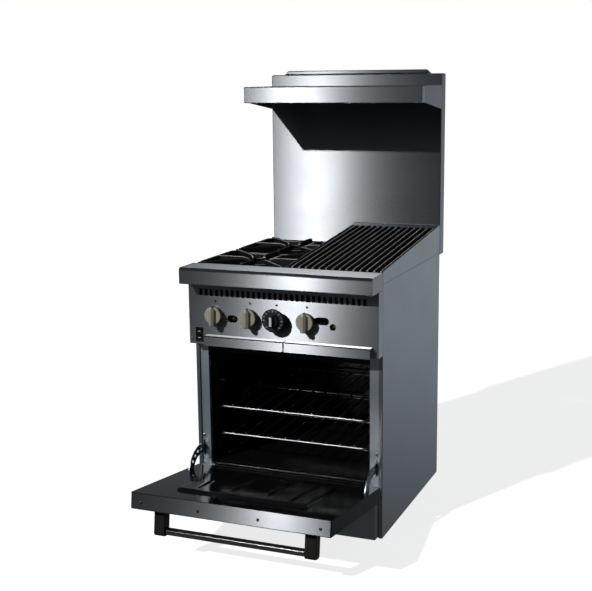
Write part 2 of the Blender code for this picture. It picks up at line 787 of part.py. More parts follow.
def switch():
    face = FRONT - PANEL_OUT
    wide = SWITCH_WIDE / 2.0
    high = SWITCH_HIGH / 2.0
    bezel = shape(
        add_box,
        (SWITCH_X - wide - 0.001, face - 0.0025, SWITCH_Z - high - 0.001),
        (SWITCH_X + wide + 0.001, face - 0.0006, SWITCH_Z + high + 0.001),
    )
    box = shape(
        add_box,
        (SWITCH_X - wide + 0.001, face - 0.0015, SWITCH_Z - high + 0.001),
        (SWITCH_X + wide - 0.001, face + 0.026, SWITCH_Z + high - 0.001),
    )
    pockets = bmesh.new()
    for c in (-0.0100, 0.0100):
        add_box(
            pockets,
            (SWITCH_X - 0.0090, face - 0.01, SWITCH_Z + c - 0.0092),
            (SWITCH_X + 0.0090, face + 0.009, SWITCH_Z + c + 0.0092),
        )
    part("switch_housing", bezel, "black_plastic", joined=(box,), cut=(pockets,))
    for c, name in ((0.0100, "switch_rocker_upper"), (-0.0100, "switch_rocker_lower")):
        outline = [(-0.0030, -0.0078), (-0.0018, 0.0), (-0.0030, 0.0078), (0.0030, 0.0070), (0.0030, -0.0070)]
        obj = part(name, shape(add_prism, outline, 0, -0.0084, 0.0084), "black_plastic")
        obj.location = (SWITCH_X, face + 0.0002, SWITCH_Z + c)
        obj.rotation_euler = (math.radians(ROCKER_TILT_DEG), 0.0, 0.0)


# ---------------------------------------------------------------- cooktop
def cooktop():
    left = -HALF
    right = SECTION_EDGE
    low = SIDE_TOP + GAP
    shell = shape(add_box, (left, FRONT + 0.0005, low), (right, BACK - 0.002, COOK_TOP))
    hollow = shape(
        add_box,
        (left + SHEET, FRONT + 0.002, low + SHEET),
        (right - SHEET, BACK - 0.0035, COOK_TOP + 0.01),
    )
    wells = bmesh.new()
    for y in BURNER_YS:
        add_rod(wells, (BURNER_X, FRONT + y, low - 0.02), (BURNER_X, FRONT + y, low + 0.004), 0.075, 24)
    rests = boxes([
        ((left + 0.0005, FRONT + 0.010, low + 0.0060), (left + 0.0115, BACK - 0.015, low + 0.0075)),
        ((right - 0.0115, FRONT + 0.010, low + 0.0060), (right - 0.0005, BACK - 0.015, low + 0.0075)),
    ])
    part("cooktop_pan", shell, "side_steel", cut=(hollow, wells), added=(("UNION", rests),))

    tubes = ((BURNER_KNOBS[0], 0.017), (-0.080, 0.013))
    for y, (tx, r), name in zip(BURNER_YS, tubes, ("open_burner_front", "open_burner_rear")):
        head = shape(
            add_turned,
            [(0.0, 0.712), (0.030, 0.712), (0.046, 0.735), (0.055, 0.745), (0.055, 0.768), (0.0, 0.768)],
            (BURNER_X, FRONT + y, 0.0), 2, 24,
        )
        tube = shape(add_rod, (tx, FRONT + 0.040, 0.730), (tx, FRONT + y + 0.010, 0.730), r, 12)
        branch = shape(add_rod, (tx, FRONT + y, 0.7302), (BURNER_X, FRONT + y, 0.7302), r * 0.98, 12)
        part(name, head, "cast_iron", joined=(tube, branch), smooth=True)
    for y, name in zip(BURNER_YS, ("burner_cap_front", "burner_cap_rear")):
        cap = [
            (0.0, 0.7685), (0.050, 0.7685), (0.052, 0.7720), (0.050, 0.7780),
            (0.030, 0.7815), (0.012, 0.7815), (0.010, 0.7790), (0.0, 0.7790),
        ]
        part(name, shape(add_turned, cap, (BURNER_X, FRONT + y, 0.0), 2, 24), "cast_iron", smooth=True)
    for span, y, name in zip(GRATE_SPANS, BURNER_YS, ("burner_grate_front", "burner_grate_rear")):
        burner_grate(name, span, y)


def burner_grate(name, span, burner_y):
    left = -HALF + SHEET + 0.0008
    right = SECTION_EDGE - SHEET - 0.0008
    low_y = FRONT + span[0]
    high_y = FRONT + span[1]
    frame = shape(add_box, (left, low_y, GRATE_LOW), (right, high_y, 0.799))
    hollow = shape(
        add_box,
        (left + GRATE_BAR, low_y + GRATE_BAR, GRATE_LOW - 0.01),
        (right - GRATE_BAR, high_y - GRATE_BAR, 0.85),
    )
    centre = Vector((BURNER_X, FRONT + burner_y, 0.0))
    raised = bmesh.new()
    for x in (left, right - GRATE_BAR):
        add_box(
            raised,
            (x + 0.0004, low_y + 0.0004, 0.795),
            (x + GRATE_BAR - 0.0004, high_y - 0.0004, GRATE_TOP - 0.0015),
        )
    fingers = []
    corners = ((left, low_y), (right, low_y), (right, high_y), (left, high_y))
    middles = ((left, centre.y), (right, centre.y), (centre.x, low_y), (centre.x, high_y))
    for spots, wide, short in ((middles, 0.010, 0.034), (corners, 0.009, 0.046)):
        for spot in spots:
            out = Vector((spot[0], spot[1], 0.0)) - centre
            length = out.length - (0.004 if spots is middles else 0.010)
            angle = math.atan2(out.y, out.x)
            outline = [
                (short, 0.7935),
                (length * 0.55, 0.7885),
                (length, 0.7885),
                (length, GRATE_TOP),
                (short + 0.022, GRATE_TOP),
                (short, 0.8055),
            ]
            bm = bmesh.new()
            verts = add_prism(bm, outline, 1, -wide / 2.0, wide / 2.0)
            place = Matrix.Translation(centre) @ Matrix.Rotation(angle, 4, "Z")
            bmesh.ops.transform(bm, matrix=place, verts=verts)
            fingers.append(bm)
    ring = shape(add_prism, arc((centre.x, centre.y), RING_OUTER, 0.0, 345.0, 23), 2, 0.7900, 0.7990)
    core = shape(add_prism, arc((centre.x, centre.y), RING_INNER, 0.0, 345.0, 23), 2, 0.7800, 0.8050)
    ring_tool = hidden(name + "_ring", ring)
    combine(ring_tool, hidden(name + "_ring_core", core), "DIFFERENCE")
    steps = [("DIFFERENCE", hollow), ("UNION", raised)] + [("UNION", bm) for bm in fingers]
    grate = part(name, frame, "cast_iron", added=steps)
    combine(grate, ring_tool, "UNION")


# ---------------------------------------------------------------- broiler
def broiler():
    low = SIDE_TOP + GAP
    a = FRONT + 0.0005
    b = BACK - 0.0025
    right = [(a, low), (b, low), (b, LEDGE_TOP), (a, 0.8150)]
    part("broiler_wall_right", shape(add_prism, right, 0, HALF - SHEET, HALF), "stainless")
    left = [(a, low), (b, low), (b, 0.8660), (a, 0.8115)]
    part("broiler_wall_left", shape(add_prism, left, 0, -0.0015, -0.0015 + BROIL_WALL), "stainless")
    x0 = -0.0015 + BROIL_WALL + GAP
    x1 = HALF - SHEET - GAP
    ledge = FRONT + LEDGE_FRONT
    outline = [
        (ledge, low), (ledge, LEDGE_TOP), (b, LEDGE_TOP),
        (b, LEDGE_TOP - SHEET), (ledge + SHEET, LEDGE_TOP - SHEET), (ledge + SHEET, low),
    ]
    part("broiler_rear_ledge", shape(add_prism, outline, 0, x0, x1), "stainless")

    z = 0.716
    front_tube = shape(add_rod, (0.0834, FRONT + 0.040, z), (0.0834, FRONT + 0.556, z), 0.0150, 12)
    second = shape(add_rod, (0.2150, FRONT + 0.100, z), (0.2150, FRONT + 0.556, z), 0.0150, 12)
    elbow = (0.0834, FRONT + 0.120, z + 0.0002)
    cross = shape(add_rod, elbow, (0.2150, FRONT + 0.120, z + 0.0002), 0.0147, 12)
    part("broiler_burner", front_tube, "cast_iron", joined=(cross, second), smooth=True)

    count = 4
    left_x = 0.014
    step = 0.2795 / count
    top = []
    for i in range(count):
        top.append((left_x + step * i, 0.745))
        top.append((left_x + step * (i + 0.5), 0.773))
    top.append((left_x + step * count, 0.745))
    outline = top + [(x, z - 0.0022) for x, z in reversed(top)]
    part("broiler_radiant", shape(add_prism, outline, 1, FRONT + 0.075, FRONT + 0.570), "galvanised")

    for n, name in enumerate(("broiler_grate_left", "broiler_grate_right")):
        broiler_grate(name, BAR_FIRST + BAR_PITCH * BARS_PER_GRATE * n)


def broiler_grate(name, first):
    length = math.hypot(BAR_BACK - BAR_FRONT, SLOPE_BACK - SLOPE_FRONT)
    slope = math.atan2(SLOPE_BACK - SLOPE_FRONT, BAR_BACK - BAR_FRONT)
    place = Matrix.Translation((0.0, FRONT + BAR_FRONT, SLOPE_FRONT)) @ Matrix.Rotation(slope, 4, "X")
    half = BAR_WIDE / 2.0
    bars = bmesh.new()
    for i in range(BARS_PER_GRATE):
        x = first + BAR_PITCH * i
        profile = [
            (x - half * 0.45, -BAR_DEEP), (x + half * 0.45, -BAR_DEEP),
            (x + half, -0.0030), (x + half * 0.55, 0.0), (x - half * 0.55, 0.0), (x - half, -0.0030),
        ]
        verts = add_prism(bars, profile, 1, 0.0, length)
        for v in verts:
            if v.co.y > length / 2.0:
                v.co.y += v.co.z * 0.6
        bmesh.ops.transform(bars, matrix=place, verts=verts)
    ties = bmesh.new()
    last = first + BAR_PITCH * (BARS_PER_GRATE - 1)
    for at in (0.012, length * 0.5, length - 0.030):
        low = (first - 0.0015, at - 0.005, -BAR_DEEP - 0.0010)
        high = (last + 0.0015, at + 0.005, -BAR_DEEP + 0.0062)
        verts = add_box(ties, low, high)
        bmesh.ops.transform(ties, matrix=place, verts=verts)
    part(name, ties, "cast_iron", joined=(bars,))


# ---------------------------------------------------------------- riser and shelf
def riser():
    face = BACK
    rear = BACK + RISER_THICK
    outer = shape(add_box, (-HALF, face, RISER_LOW), (HALF, rear, RISER_TOP))
    hollow = shape(
        add_box,
        (-HALF + SHEET, face + SHEET, RISER_LOW - 0.01),
        (HALF - SHEET, rear + 0.01, RISER_TOP - SHEET),
    )
    mouth = shape(add_box, (-0.238, face + 0.009, RISER_TOP - 0.01), (0.238, rear - 0.009, RISER_TOP + 0.01))
    part("riser_panel", outer, "stainless", cut=(hollow, mouth))
    inside = HALF - SHEET - GAP
    part(
        "riser_back",
        shape(add_box, (-inside, rear - SHEET, RISER_LOW), (inside, rear, RISER_TOP - SHEET - GAP)),
        "galvanised",
    )
    z0 = RISER_TOP + GAP
    y0 = face + 0.004
    y1 = rear - 0.004
    ends = 0.0137
    outline = [(-CAP_HALF, z0), (CAP_HALF, z0), (CAP_HALF - ends, CAP_TOP), (-CAP_HALF + ends, CAP_TOP)]
    hollow_outline = [
        (-CAP_HALF + SHEET * 1.6, z0 - 0.005), (CAP_HALF - SHEET * 1.6, z0 - 0.005),
        (CAP_HALF - ends - SHEET, CAP_TOP - SHEET), (-CAP_HALF + ends + SHEET, CAP_TOP - SHEET),
    ]
    vents = boxes([
        ((-0.215 + 0.048 * i, y1 - 0.01, z0 + 0.004), (-0.180 + 0.048 * i, y1 + 0.01, z0 + 0.0095))
        for i in range(9)
    ])
    part(
        "riser_cap",
        shape(add_prism, outline, 1, y0, y1),
        "stainless",
        cut=(shape(add_prism, hollow_outline, 1, y0 + SHEET, y1 - SHEET), vents),
    )

    front = BACK - SHELF_OUT
    wrap = front + SHELF_WRAP
    c = SHELF_CORNER
    t = SHEET
    outside = [(-HALF, wrap)] + arc((-HALF + c, front + c), c, 180.0, 270.0, 5)
    outside += arc((HALF - c, front + c), c, 270.0, 360.0, 5) + [(HALF, wrap)]
    inner = [(HALF - t, wrap)] + arc((HALF - c, front + c), c - t, 360.0, 270.0, 5)
    inner += arc((-HALF + c, front + c), c - t, 270.0, 180.0, 5) + [(-HALF + t, wrap)]
    band = shape(add_prism, outside + inner, 2, SHELF_LOW, SHELF_TOP)
    slab = [(-HALF + 0.0009, wrap - 0.0003)] + arc((-HALF + c, front + c), c - 0.0009, 180.0, 270.0, 5)
    slab += arc((HALF - c, front + c), c - 0.0009, 270.0, 360.0, 5) + [(HALF - 0.0009, wrap - 0.0003)]
    edge = HALF - SHEET - GAP
    back_edge = BACK - GAP
    slab += [(edge, wrap - 0.0003), (edge, back_edge), (-edge, back_edge), (-edge, wrap - 0.0003)]
    deck = shape(add_prism, slab, 2, SHELF_TOP - 0.0021, SHELF_TOP - 0.0004)
    fold = shape(
        add_box,
        (-HALF + c, front + 0.0007, SHELF_LOW + 0.0004),
        (HALF - c, front + 0.014, SHELF_LOW + 0.0004 + SHEET),
    )
    flange = shape(
        add_box,
        (-edge + 0.002, back_edge - SHEET, SHELF_TOP - 0.022),
        (edge - 0.002, back_edge - 0.0002, SHELF_TOP - 0.0010),
    )
    part("shelf", band, "stainless", joined=(deck, fold, flange))
    for s, name in ((-1.0, "shelf_end_left"), (1.0, "shelf_end_right")):
        outline = [
            (wrap + 0.0004, SHELF_LOW), (wrap + 0.0004, SHELF_TOP),
            (back_edge, SHELF_TOP), (back_edge, SHELF_END_LOW),
        ]
        x0 = min(s * HALF, s * (HALF - SHEET))
        part(name, shape(add_prism, outline, 0, x0, x0 + SHEET), "stainless")


# ---------------------------------------------------------------- build
for old in list(bpy.data.objects):
    bpy.data.objects.remove(old, do_unlink=True)

cabinet()
oven()
door()
controls()
knobs()
gas_train()
switch()
cooktop()
broiler()
riser()
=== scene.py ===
"""The looks of a 24 inch commercial gas range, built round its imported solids. Metres, +Z up, front towards -Y."""
import json
import math

import bmesh
import bpy
import numpy as np
from mathutils import Matrix, Vector

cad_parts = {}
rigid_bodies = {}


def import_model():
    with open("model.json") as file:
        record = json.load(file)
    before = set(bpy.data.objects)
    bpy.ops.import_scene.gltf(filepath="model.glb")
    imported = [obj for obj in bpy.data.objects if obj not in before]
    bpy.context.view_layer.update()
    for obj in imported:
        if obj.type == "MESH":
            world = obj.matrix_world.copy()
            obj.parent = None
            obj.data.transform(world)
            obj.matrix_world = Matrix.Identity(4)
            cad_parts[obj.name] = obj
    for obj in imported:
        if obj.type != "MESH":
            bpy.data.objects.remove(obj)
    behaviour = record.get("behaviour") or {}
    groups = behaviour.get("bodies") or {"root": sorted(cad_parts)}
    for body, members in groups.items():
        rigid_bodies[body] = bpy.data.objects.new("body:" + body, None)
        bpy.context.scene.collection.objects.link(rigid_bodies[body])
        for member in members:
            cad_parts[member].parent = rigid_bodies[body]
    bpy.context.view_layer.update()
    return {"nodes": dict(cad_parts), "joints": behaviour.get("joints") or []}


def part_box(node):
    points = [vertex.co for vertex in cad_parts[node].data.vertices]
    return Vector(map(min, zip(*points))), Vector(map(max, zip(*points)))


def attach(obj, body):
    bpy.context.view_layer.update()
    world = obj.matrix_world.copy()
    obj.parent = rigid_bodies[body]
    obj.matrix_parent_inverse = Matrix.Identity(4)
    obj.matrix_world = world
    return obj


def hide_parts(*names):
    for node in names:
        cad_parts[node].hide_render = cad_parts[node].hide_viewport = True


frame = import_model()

TAU = 2.0 * math.pi
SHEET = 0.0015          # gauge of the folded sheets
KNOB_Z = 0.662          # height of the knob axes
KNOB_XS = (-0.2138, -0.0995, -0.0134, 0.0834)
SWITCH_X = -0.271


# ---- shapes
def rounded(corners, radius, steps=4, closed=True):
    """Corners replaced by arcs: a rational quadratic Bezier per corner, weighted by the sine of its half angle."""
    p = np.asarray(corners, float)
    before = np.roll(p, 1, 0) - p
    after = np.roll(p, -1, 0) - p
    a = before / np.maximum(np.linalg.norm(before, axis=1), 1e-12)[:, None]
    b = after / np.maximum(np.linalg.norm(after, axis=1), 1e-12)[:, None]
    half = 0.5 * np.arccos(np.clip((a * b).sum(1), -0.99999, 0.99999))
    r = np.broadcast_to(np.asarray(radius, float), (len(p),)).copy()
    if not closed:
        r[[0, -1]] = 0.0
    reach = r / np.tan(half)
    start = p + a * reach[:, None]
    end = p + b * reach[:, None]
    t = np.linspace(0.0, 1.0, steps + 1)[None, :, None]
    w = np.sin(half)[:, None, None]
    top = (1 - t) ** 2 * start[:, None] + 2 * t * (1 - t) * w * p[:, None] + t ** 2 * end[:, None]
    under = (1 - t) ** 2 + 2 * t * (1 - t) * w + t ** 2
    arcs = top / under
    if not closed:
        return np.concatenate([p[:1], arcs[1:-1].reshape(-1, p.shape[1]), p[-1:]])
    return arcs.reshape(-1, p.shape[1])


def offset(line, by, closed=True):
    """A 2-D line moved sideways by a mitred distance, to the left of its direction."""
    p = np.asarray(line, float)
    d = np.roll(p, -1, 0) - p
    if not closed:
        d[-1] = d[-2]
    d /= np.maximum(np.linalg.norm(d, axis=1), 1e-12)[:, None]
    n = np.stack([-d[:, 1], d[:, 0]], 1)
    m = np.roll(n, 1, 0)
    if not closed:
        m[0] = n[0]
    return p + by * (n + m) / np.maximum(1.0 + (n * m).sum(1), 0.25)[:, None]


def area(outline):
    """Twice the signed area of a 2-D outline."""
    x, y = outline[:, 0], outline[:, 1]
    return float((x * np.roll(y, -1) - y * np.roll(x, -1)).sum())


def folded(line, thick, radius, steps=4):
    """A bent sheet's section: a bend line with rounded bends, and that line moved in by the sheet's gauge."""
    outer = rounded(line, radius, steps, closed=False)
    inner = offset(outer, thick, closed=False)
    return np.concatenate([outer, inner[::-1]])


def rectangle(x0, x1, z0, z1, corner=0.0, steps=3):
    """Four corners, rounded when a corner radius is given."""
    p = [(x0, z0), (x1, z0), (x1, z1), (x0, z1)]
    return rounded(p, corner, steps) if corner else np.array(p, float)


def circle(radius, sides):
    """Points at equal angles: radius times (cos a, sin a)."""
    a = np.arange(sides) / sides * TAU
    return np.stack([np.cos(a), np.sin(a)], 1) * radius


def skin(grid, capped=True, looped=False):
    """Quads over a grid of points, rows along and columns round, with an n-gon over each end."""
    rows, cols = grid.shape[:2]
    r, c = np.meshgrid(np.arange(rows if looped else rows - 1), np.arange(cols), indexing="ij")
    r2, c2 = (r + 1) % rows, (c + 1) % cols
    faces = np.stack([r * cols + c, r * cols + c2, r2 * cols + c2, r2 * cols + c], -1).reshape(-1, 4).tolist()
    if capped and not looped:
        faces += [list(range(cols))[::-1], list(range((rows - 1) * cols, rows * cols))]
    return grid.reshape(-1, 3), faces


def placed(flat, depth, axis):
    """2-D points and a depth in space: the depth runs along the axis, the pair takes the other two in order."""
    depth = np.broadcast_to(depth, flat.shape[:-1])
    pair = [flat[..., 0], flat[..., 1]]
    pair.insert(axis, depth)
    return np.stack(pair, -1)


def plate(outline, axis, low, high, edge=0.0004, steps=2):
    """An outline pushed from low to high with rounded rims.

    Each rim is a quarter circle: rings moved in by edge (1 - sin a) at a depth of edge (1 - cos a).
    """
    outline = np.asarray(outline, float)
    if area(outline) < 0:
        outline = outline[::-1]
    a = np.linspace(0.0, math.pi / 2, steps + 1)
    inset = edge * (1 - np.sin(a))
    depth = edge * (1 - np.cos(a))
    rings = [placed(offset(outline, i), low + d, axis) for i, d in zip(inset, depth)]
    rings += [placed(offset(outline, i), high - d, axis) for i, d in zip(inset[::-1], depth[::-1])]
    return skin(np.array(rings))


def dish(x, z, face, rim, thick, bend, corner, axis=1):
    """A sheet folded back on all four sides.

    Rounded rectangles follow the outer bend to the rim, and then the inner bend back.
    """
    way = 1.0 if rim > face else -1.0
    deep = abs(rim - face)
    a = np.linspace(0.0, math.pi / 2, 4)
    inner = max(bend - thick, 0.0004)
    inset = np.concatenate([bend * (1 - np.sin(a)), [0.0, thick], (thick + inner * (1 - np.sin(a)))[::-1]])
    depth = np.concatenate([bend * (1 - np.cos(a)), [deep, deep], (thick + inner * (1 - np.cos(a)))[::-1]])
    rings = []
    for i, d in zip(inset, depth):
        ring = rectangle(x[0] + i, x[1] - i, z[0] + i, z[1] - i, max(corner - i, 0.0003), 4)
        rings.append(placed(ring, face + way * d, axis))
    return skin(np.array(rings))


def sweep(path, section, up=(0.0, 0.0, 1.0), looped=False):
    """A section carried along a path: point = path + side * u + top * v, with side and top square to the path."""
    path = np.asarray(path, float)
    if looped:
        tangent = np.roll(path, -1, 0) - np.roll(path, 1, 0)
    else:
        tangent = np.gradient(path, axis=0)
    tangent /= np.linalg.norm(tangent, axis=1)[:, None]
    side = np.cross(tangent, np.asarray(up, float))
    side /= np.linalg.norm(side, axis=1)[:, None]
    top = np.cross(side, tangent)
    section = np.asarray(section, float)
    if section.ndim == 2:
        section = np.broadcast_to(section, (len(path), *section.shape))
    grid = path[:, None] + side[:, None] * section[..., :1] + top[:, None] * section[..., 1:]
    return skin(grid, looped=looped)


def rod(path, radius, sides=12, up=(0.0, 0.0, 1.0), looped=False):
    """A round bar along a path, its ends closed by two shrinking rings."""
    path = np.asarray(path, float)
    if looped:
        return sweep(path, circle(radius, sides), up, True)
    a = (path[1] - path[0]) / np.linalg.norm(path[1] - path[0]) * radius * 0.25
    b = (path[-1] - path[-2]) / np.linalg.norm(path[-1] - path[-2]) * radius * 0.25
    start = [path[0], path[0] + a * 0.4, path[0] + a]
    end = [path[-1] - b, path[-1] - b * 0.4, path[-1]]
    path = np.concatenate([start, path[1:-1], end])
    scale = np.ones(len(path))
    scale[[0, -1]] = 0.72
    scale[[1, -2]] = 0.92
    return sweep(path, circle(radius, sides)[None] * scale[:, None, None], up)


def turned(profile, centre, axis, sides=32, wobble=None):
    """A profile of (radius, height) pairs revolved about an axis. wobble(angle, height) scales the radius."""
    profile = np.asarray(profile, float)
    angle = np.arange(sides) / sides * TAU
    r = np.repeat(profile[:, :1], sides, 1)
    if wobble is not None:
        r = r * wobble(angle[None, :], profile[:, 1:2])
    flat = np.stack([r * np.cos(angle), r * np.sin(angle)], -1)
    return skin(placed(flat, profile[:, 1:2], axis) + np.asarray(centre, float))


def slab(x, y, top, thick):
    """A height field with a parallel underside: top(x, y) over a grid, closed round its border."""
    gx, gy = np.meshgrid(x, y, indexing="ij")
    upper = np.stack([gx, gy, top(gx, gy)], -1)
    lower = upper - np.array([0.0, 0.0, thick])
    rows, cols = gx.shape
    n = rows * cols
    r, c = np.meshgrid(np.arange(rows - 1), np.arange(cols - 1), indexing="ij")
    quad = np.stack([r * cols + c, (r + 1) * cols + c, (r + 1) * cols + c + 1, r * cols + c + 1], -1).reshape(-1, 4)
    border = np.concatenate([
        np.arange(rows) * cols,
        (rows - 1) * cols + np.arange(1, cols),
        np.arange(rows - 2, -1, -1) * cols + cols - 1,
        np.arange(cols - 2, 0, -1),
    ])
    nxt = np.roll(border, -1)
    wall = np.stack([border, nxt, nxt + n, border + n], -1)
    faces = np.concatenate([quad, quad[:, ::-1] + n, wall]).tolist()
    return np.concatenate([upper.reshape(-1, 3), lower.reshape(-1, 3)]), faces


def moved(form, matrix):
    """A form with a matrix applied to its points."""
    points, faces = form
    m = np.array(matrix, float)
    return points @ m[:3, :3].T + m[:3, 3], faces


def edged(node, width):
    """A CAD node's own shape as a new mesh: points merged, flat faces joined and every hard edge bevelled."""
    mesh = bmesh.new()
    mesh.from_mesh(frame["nodes"][node].data)
    bmesh.ops.remove_doubles(mesh, verts=mesh.verts, dist=2e-6)
    bmesh.ops.dissolve_limit(mesh, angle_limit=0.02, verts=mesh.verts, edges=mesh.edges)
    hard = [e for e in mesh.edges if len(e.link_faces) == 2 and e.calc_face_angle() > 0.6]
    bmesh.ops.bevel(mesh, geom=hard, offset=width, segments=2, profile=0.5, affect="EDGES", clamp_overlap=True)
    points = np.array([v.co for v in mesh.verts])
    faces = [[v.index for v in f.verts] for f in mesh.faces]
    mesh.free()
    return points, faces


# ---- pieces
BRUSHED = set()  # names of the pieces that the weaker sun lights
GLANCING = ("handle_tube", "mouth_lip")


def face_normals(mesh):
    """One row per face."""
    normals = np.zeros(len(mesh.polygons) * 3)
    mesh.polygons.foreach_get("normal", normals)
    return normals.reshape(-1, 3)


def second_coat(mesh, coat, chosen):
    """A second material on the chosen faces."""
    mesh.materials.append(coat.material)
    mesh.polygons.foreach_set("material_index", chosen.astype(np.int32))


def shade_by_area(mesh, angle):
    """Corner normals: the area-weighted mean of the face normals that meet at a corner.

    Only faces within the angle of the corner's own face count.
    """
    count = len(mesh.polygons)
    normal = face_normals(mesh)
    surface = np.zeros(count)
    size = np.zeros(count, np.int32)
    corner = np.zeros(len(mesh.loops), np.int32)
    mesh.polygons.foreach_get("area", surface)
    mesh.polygons.foreach_get("loop_total", size)
    mesh.loops.foreach_get("vertex_index", corner)
    face = np.repeat(np.arange(count), size)
    order = np.argsort(corner, kind="stable")
    uses = np.bincount(corner, minlength=len(mesh.vertices))
    start = np.cumsum(uses) - uses
    result = np.zeros((len(corner), 3))
    for k in np.unique(uses[uses > 0]):
        at = order[start[uses == k][:, None] + np.arange(k)]
        n = normal[face[at]]
        near = np.einsum("mic,mjc->mij", n, n) > math.cos(math.radians(angle))
        total = np.einsum("mij,mj,mjc->mic", near, surface[face[at]] + 1e-12, n)
        result[at] = total / np.maximum(np.linalg.norm(total, axis=2), 1e-12)[..., None]
    mesh.polygons.foreach_set("use_smooth", np.ones(count, bool))
    mesh.normals_split_custom_set(result.tolist())


def piece(name, forms, body, coat, replaces=(), smooth=38.0, top_coat=None, side_coat=None, painted_highlight=None):
    """One object from one or more forms: doubles merged, faces turned outwards, smooth below the given angle.

    top_coat goes on level faces, side_coat on faces that face sideways, and the last argument, a pale coat with the
    least and most upward part of a normal, goes on faces inside those limits that lean to the front left towards
    the key light, as a painted highlight.
    """
    points, faces, base = [], [], 0
    for form_points, form_faces in forms:
        points.append(form_points)
        faces += [[i + base for i in f] for f in form_faces]
        base += len(form_points)
    mesh = bpy.data.meshes.new(name)
    mesh.from_pydata(np.concatenate(points).tolist(), [], faces)
    work = bmesh.new()
    work.from_mesh(mesh)
    bmesh.ops.remove_doubles(work, verts=work.verts, dist=1e-6)
    bmesh.ops.dissolve_degenerate(work, dist=1e-7, edges=work.edges)
    bmesh.ops.recalc_face_normals(work, faces=work.faces)
    work.to_mesh(mesh)
    work.free()
    obj = bpy.data.objects.new(name, mesh)
    bpy.context.scene.collection.objects.link(obj)
    mesh.materials.append(coat.material)
    normals = face_normals(mesh)
    if top_coat:
        second_coat(mesh, top_coat, np.abs(normals[:, 2]) > 0.5)
    if side_coat:
        second_coat(mesh, side_coat, np.abs(normals[:, 0]) > 0.8)
    # Faces turned towards the key light take a pale coat: a painted highlight on the iron.
    if painted_highlight:
        highlight_coat, least, most = painted_highlight
        leaning = normals @ np.array([-0.7, -0.7, 0.0]) > 0.1
        second_coat(mesh, highlight_coat, leaning & (normals[:, 2] > least) & (normals[:, 2] < most))
    shade_by_area(mesh, smooth)
    if coat.slot == "stainless" and coat is not screw_coat or name in GLANCING:
        BRUSHED.add(name)
    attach(obj, body)
    if replaces:
        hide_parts(*replaces)


def eased(name, node, width, body, coat):
    """A piece in a node's own shape, its hard edges bevelled."""
    piece(name, [edged(node, width)], body, coat, (node,))


# ---- finishes
class Wire:
    """An output of a finish's node tree. Sums, products and comparisons of wires add Math nodes."""

    def __init__(self, paint, socket):
        self.paint = paint
        self.socket = socket

    def maths(self, operation, *values):
        return self.paint.add("ShaderNodeMath", {"operation": operation}, dict(enumerate(values)))

    def __add__(self, other):
        return self.maths("ADD", self, other)

    def __sub__(self, other):
        return self.maths("SUBTRACT", self, other)

    def __rsub__(self, other):
        return self.maths("SUBTRACT", other, self)

    def __mul__(self, other):
        return self.maths("MULTIPLY", self, other)

    def __gt__(self, other):
        return self.maths("GREATER_THAN", self, other)

    def __lt__(self, other):
        return self.maths("LESS_THAN", self, other)

    def __abs__(self):
        return self.maths("ABSOLUTE", self)

    __radd__ = __add__
    __rmul__ = __mul__

    def between(self, low, high):
        """0 below low and 1 above high, straight in between."""
        settings = {"clamp": True}
        return self.paint.add("ShaderNodeMapRange", settings, {0: self, 1: low, 2: high})


class Paint:
    """A finish: a material, its node tree and the record's slot that it belongs to."""

    def __init__(self, name, slot, **fixed):
        self.material = bpy.data.materials.new(name)
        self.material.use_nodes = True
        self.slot = slot
        self.tree = self.material.node_tree
        self.shader = self.tree.nodes["Principled BSDF"]
        self.put(**fixed)

    def put(self, **sockets):
        """Feeds the shader's sockets by name, with _ for each space."""
        for name, value in sockets.items():
            self.feed(self.shader.inputs[name.replace("_", " ")], value)

    def feed(self, socket, value):
        """Links a wire, or sets a number, vector or colour."""
        if isinstance(value, Wire):
            self.tree.links.new(value.socket, socket)
        elif isinstance(value, tuple) and len(value) == 3 and socket.type == "RGBA":
            socket.default_value = (*value, 1.0)
        else:
            socket.default_value = value

    def add(self, kind, settings=None, inputs=None, out=0):
        """A new node: its settings first, then its inputs. Gives the wire of one output."""
        node = self.tree.nodes.new(kind)
        for key, value in (settings or {}).items():
            setattr(node, key, value)
        for key, value in (inputs or {}).items():
            self.feed(node.inputs[key], value)
        return Wire(self, node.outputs[out])

    def spot(self, stretch=(1.0, 1.0, 1.0)):
        """Object coordinates, stretched."""
        here = self.add("ShaderNodeTexCoord", out="Object")
        return self.add("ShaderNodeVectorMath", {"operation": "MULTIPLY"}, {0: here, 1: stretch})

    def noise(self, stretch, detail=2.0, rough=0.55):
        """Cloudy noise from 0 to 1, stretched by a number or by one for each axis."""
        if isinstance(stretch, (int, float)):
            stretch = (stretch,) * 3
        values = {"Vector": self.spot(stretch), "Scale": 1.0, "Detail": detail, "Roughness": rough}
        return self.add("ShaderNodeTexNoise", None, values)

    def speck(self, scale, out="Distance"):
        """Scattered points: the distance to the nearest, or a colour for each one's cell."""
        values = {"Vector": self.spot((scale,) * 3), "Scale": 1.0}
        return self.add("ShaderNodeTexVoronoi", None, values, out=out)

    def mix(self, share, low, high):
        """Two colours mixed by a share from 0 to 1."""
        settings = {"data_type": "RGBA", "clamp_factor": True}
        return self.add("ShaderNodeMix", settings, {0: share, 6: low, 7: high}, out=2)

    def bump(self, height, distance):
        """A normal tilted by the slope of a height, which is in units of the distance."""
        values = {"Strength": 1.0, "Distance": distance, "Height": height}
        return self.add("ShaderNodeBump", None, values)


def shade(colour, by):
    """A colour made lighter or darker."""
    return tuple(min(c * by, 1.0) for c in colour)


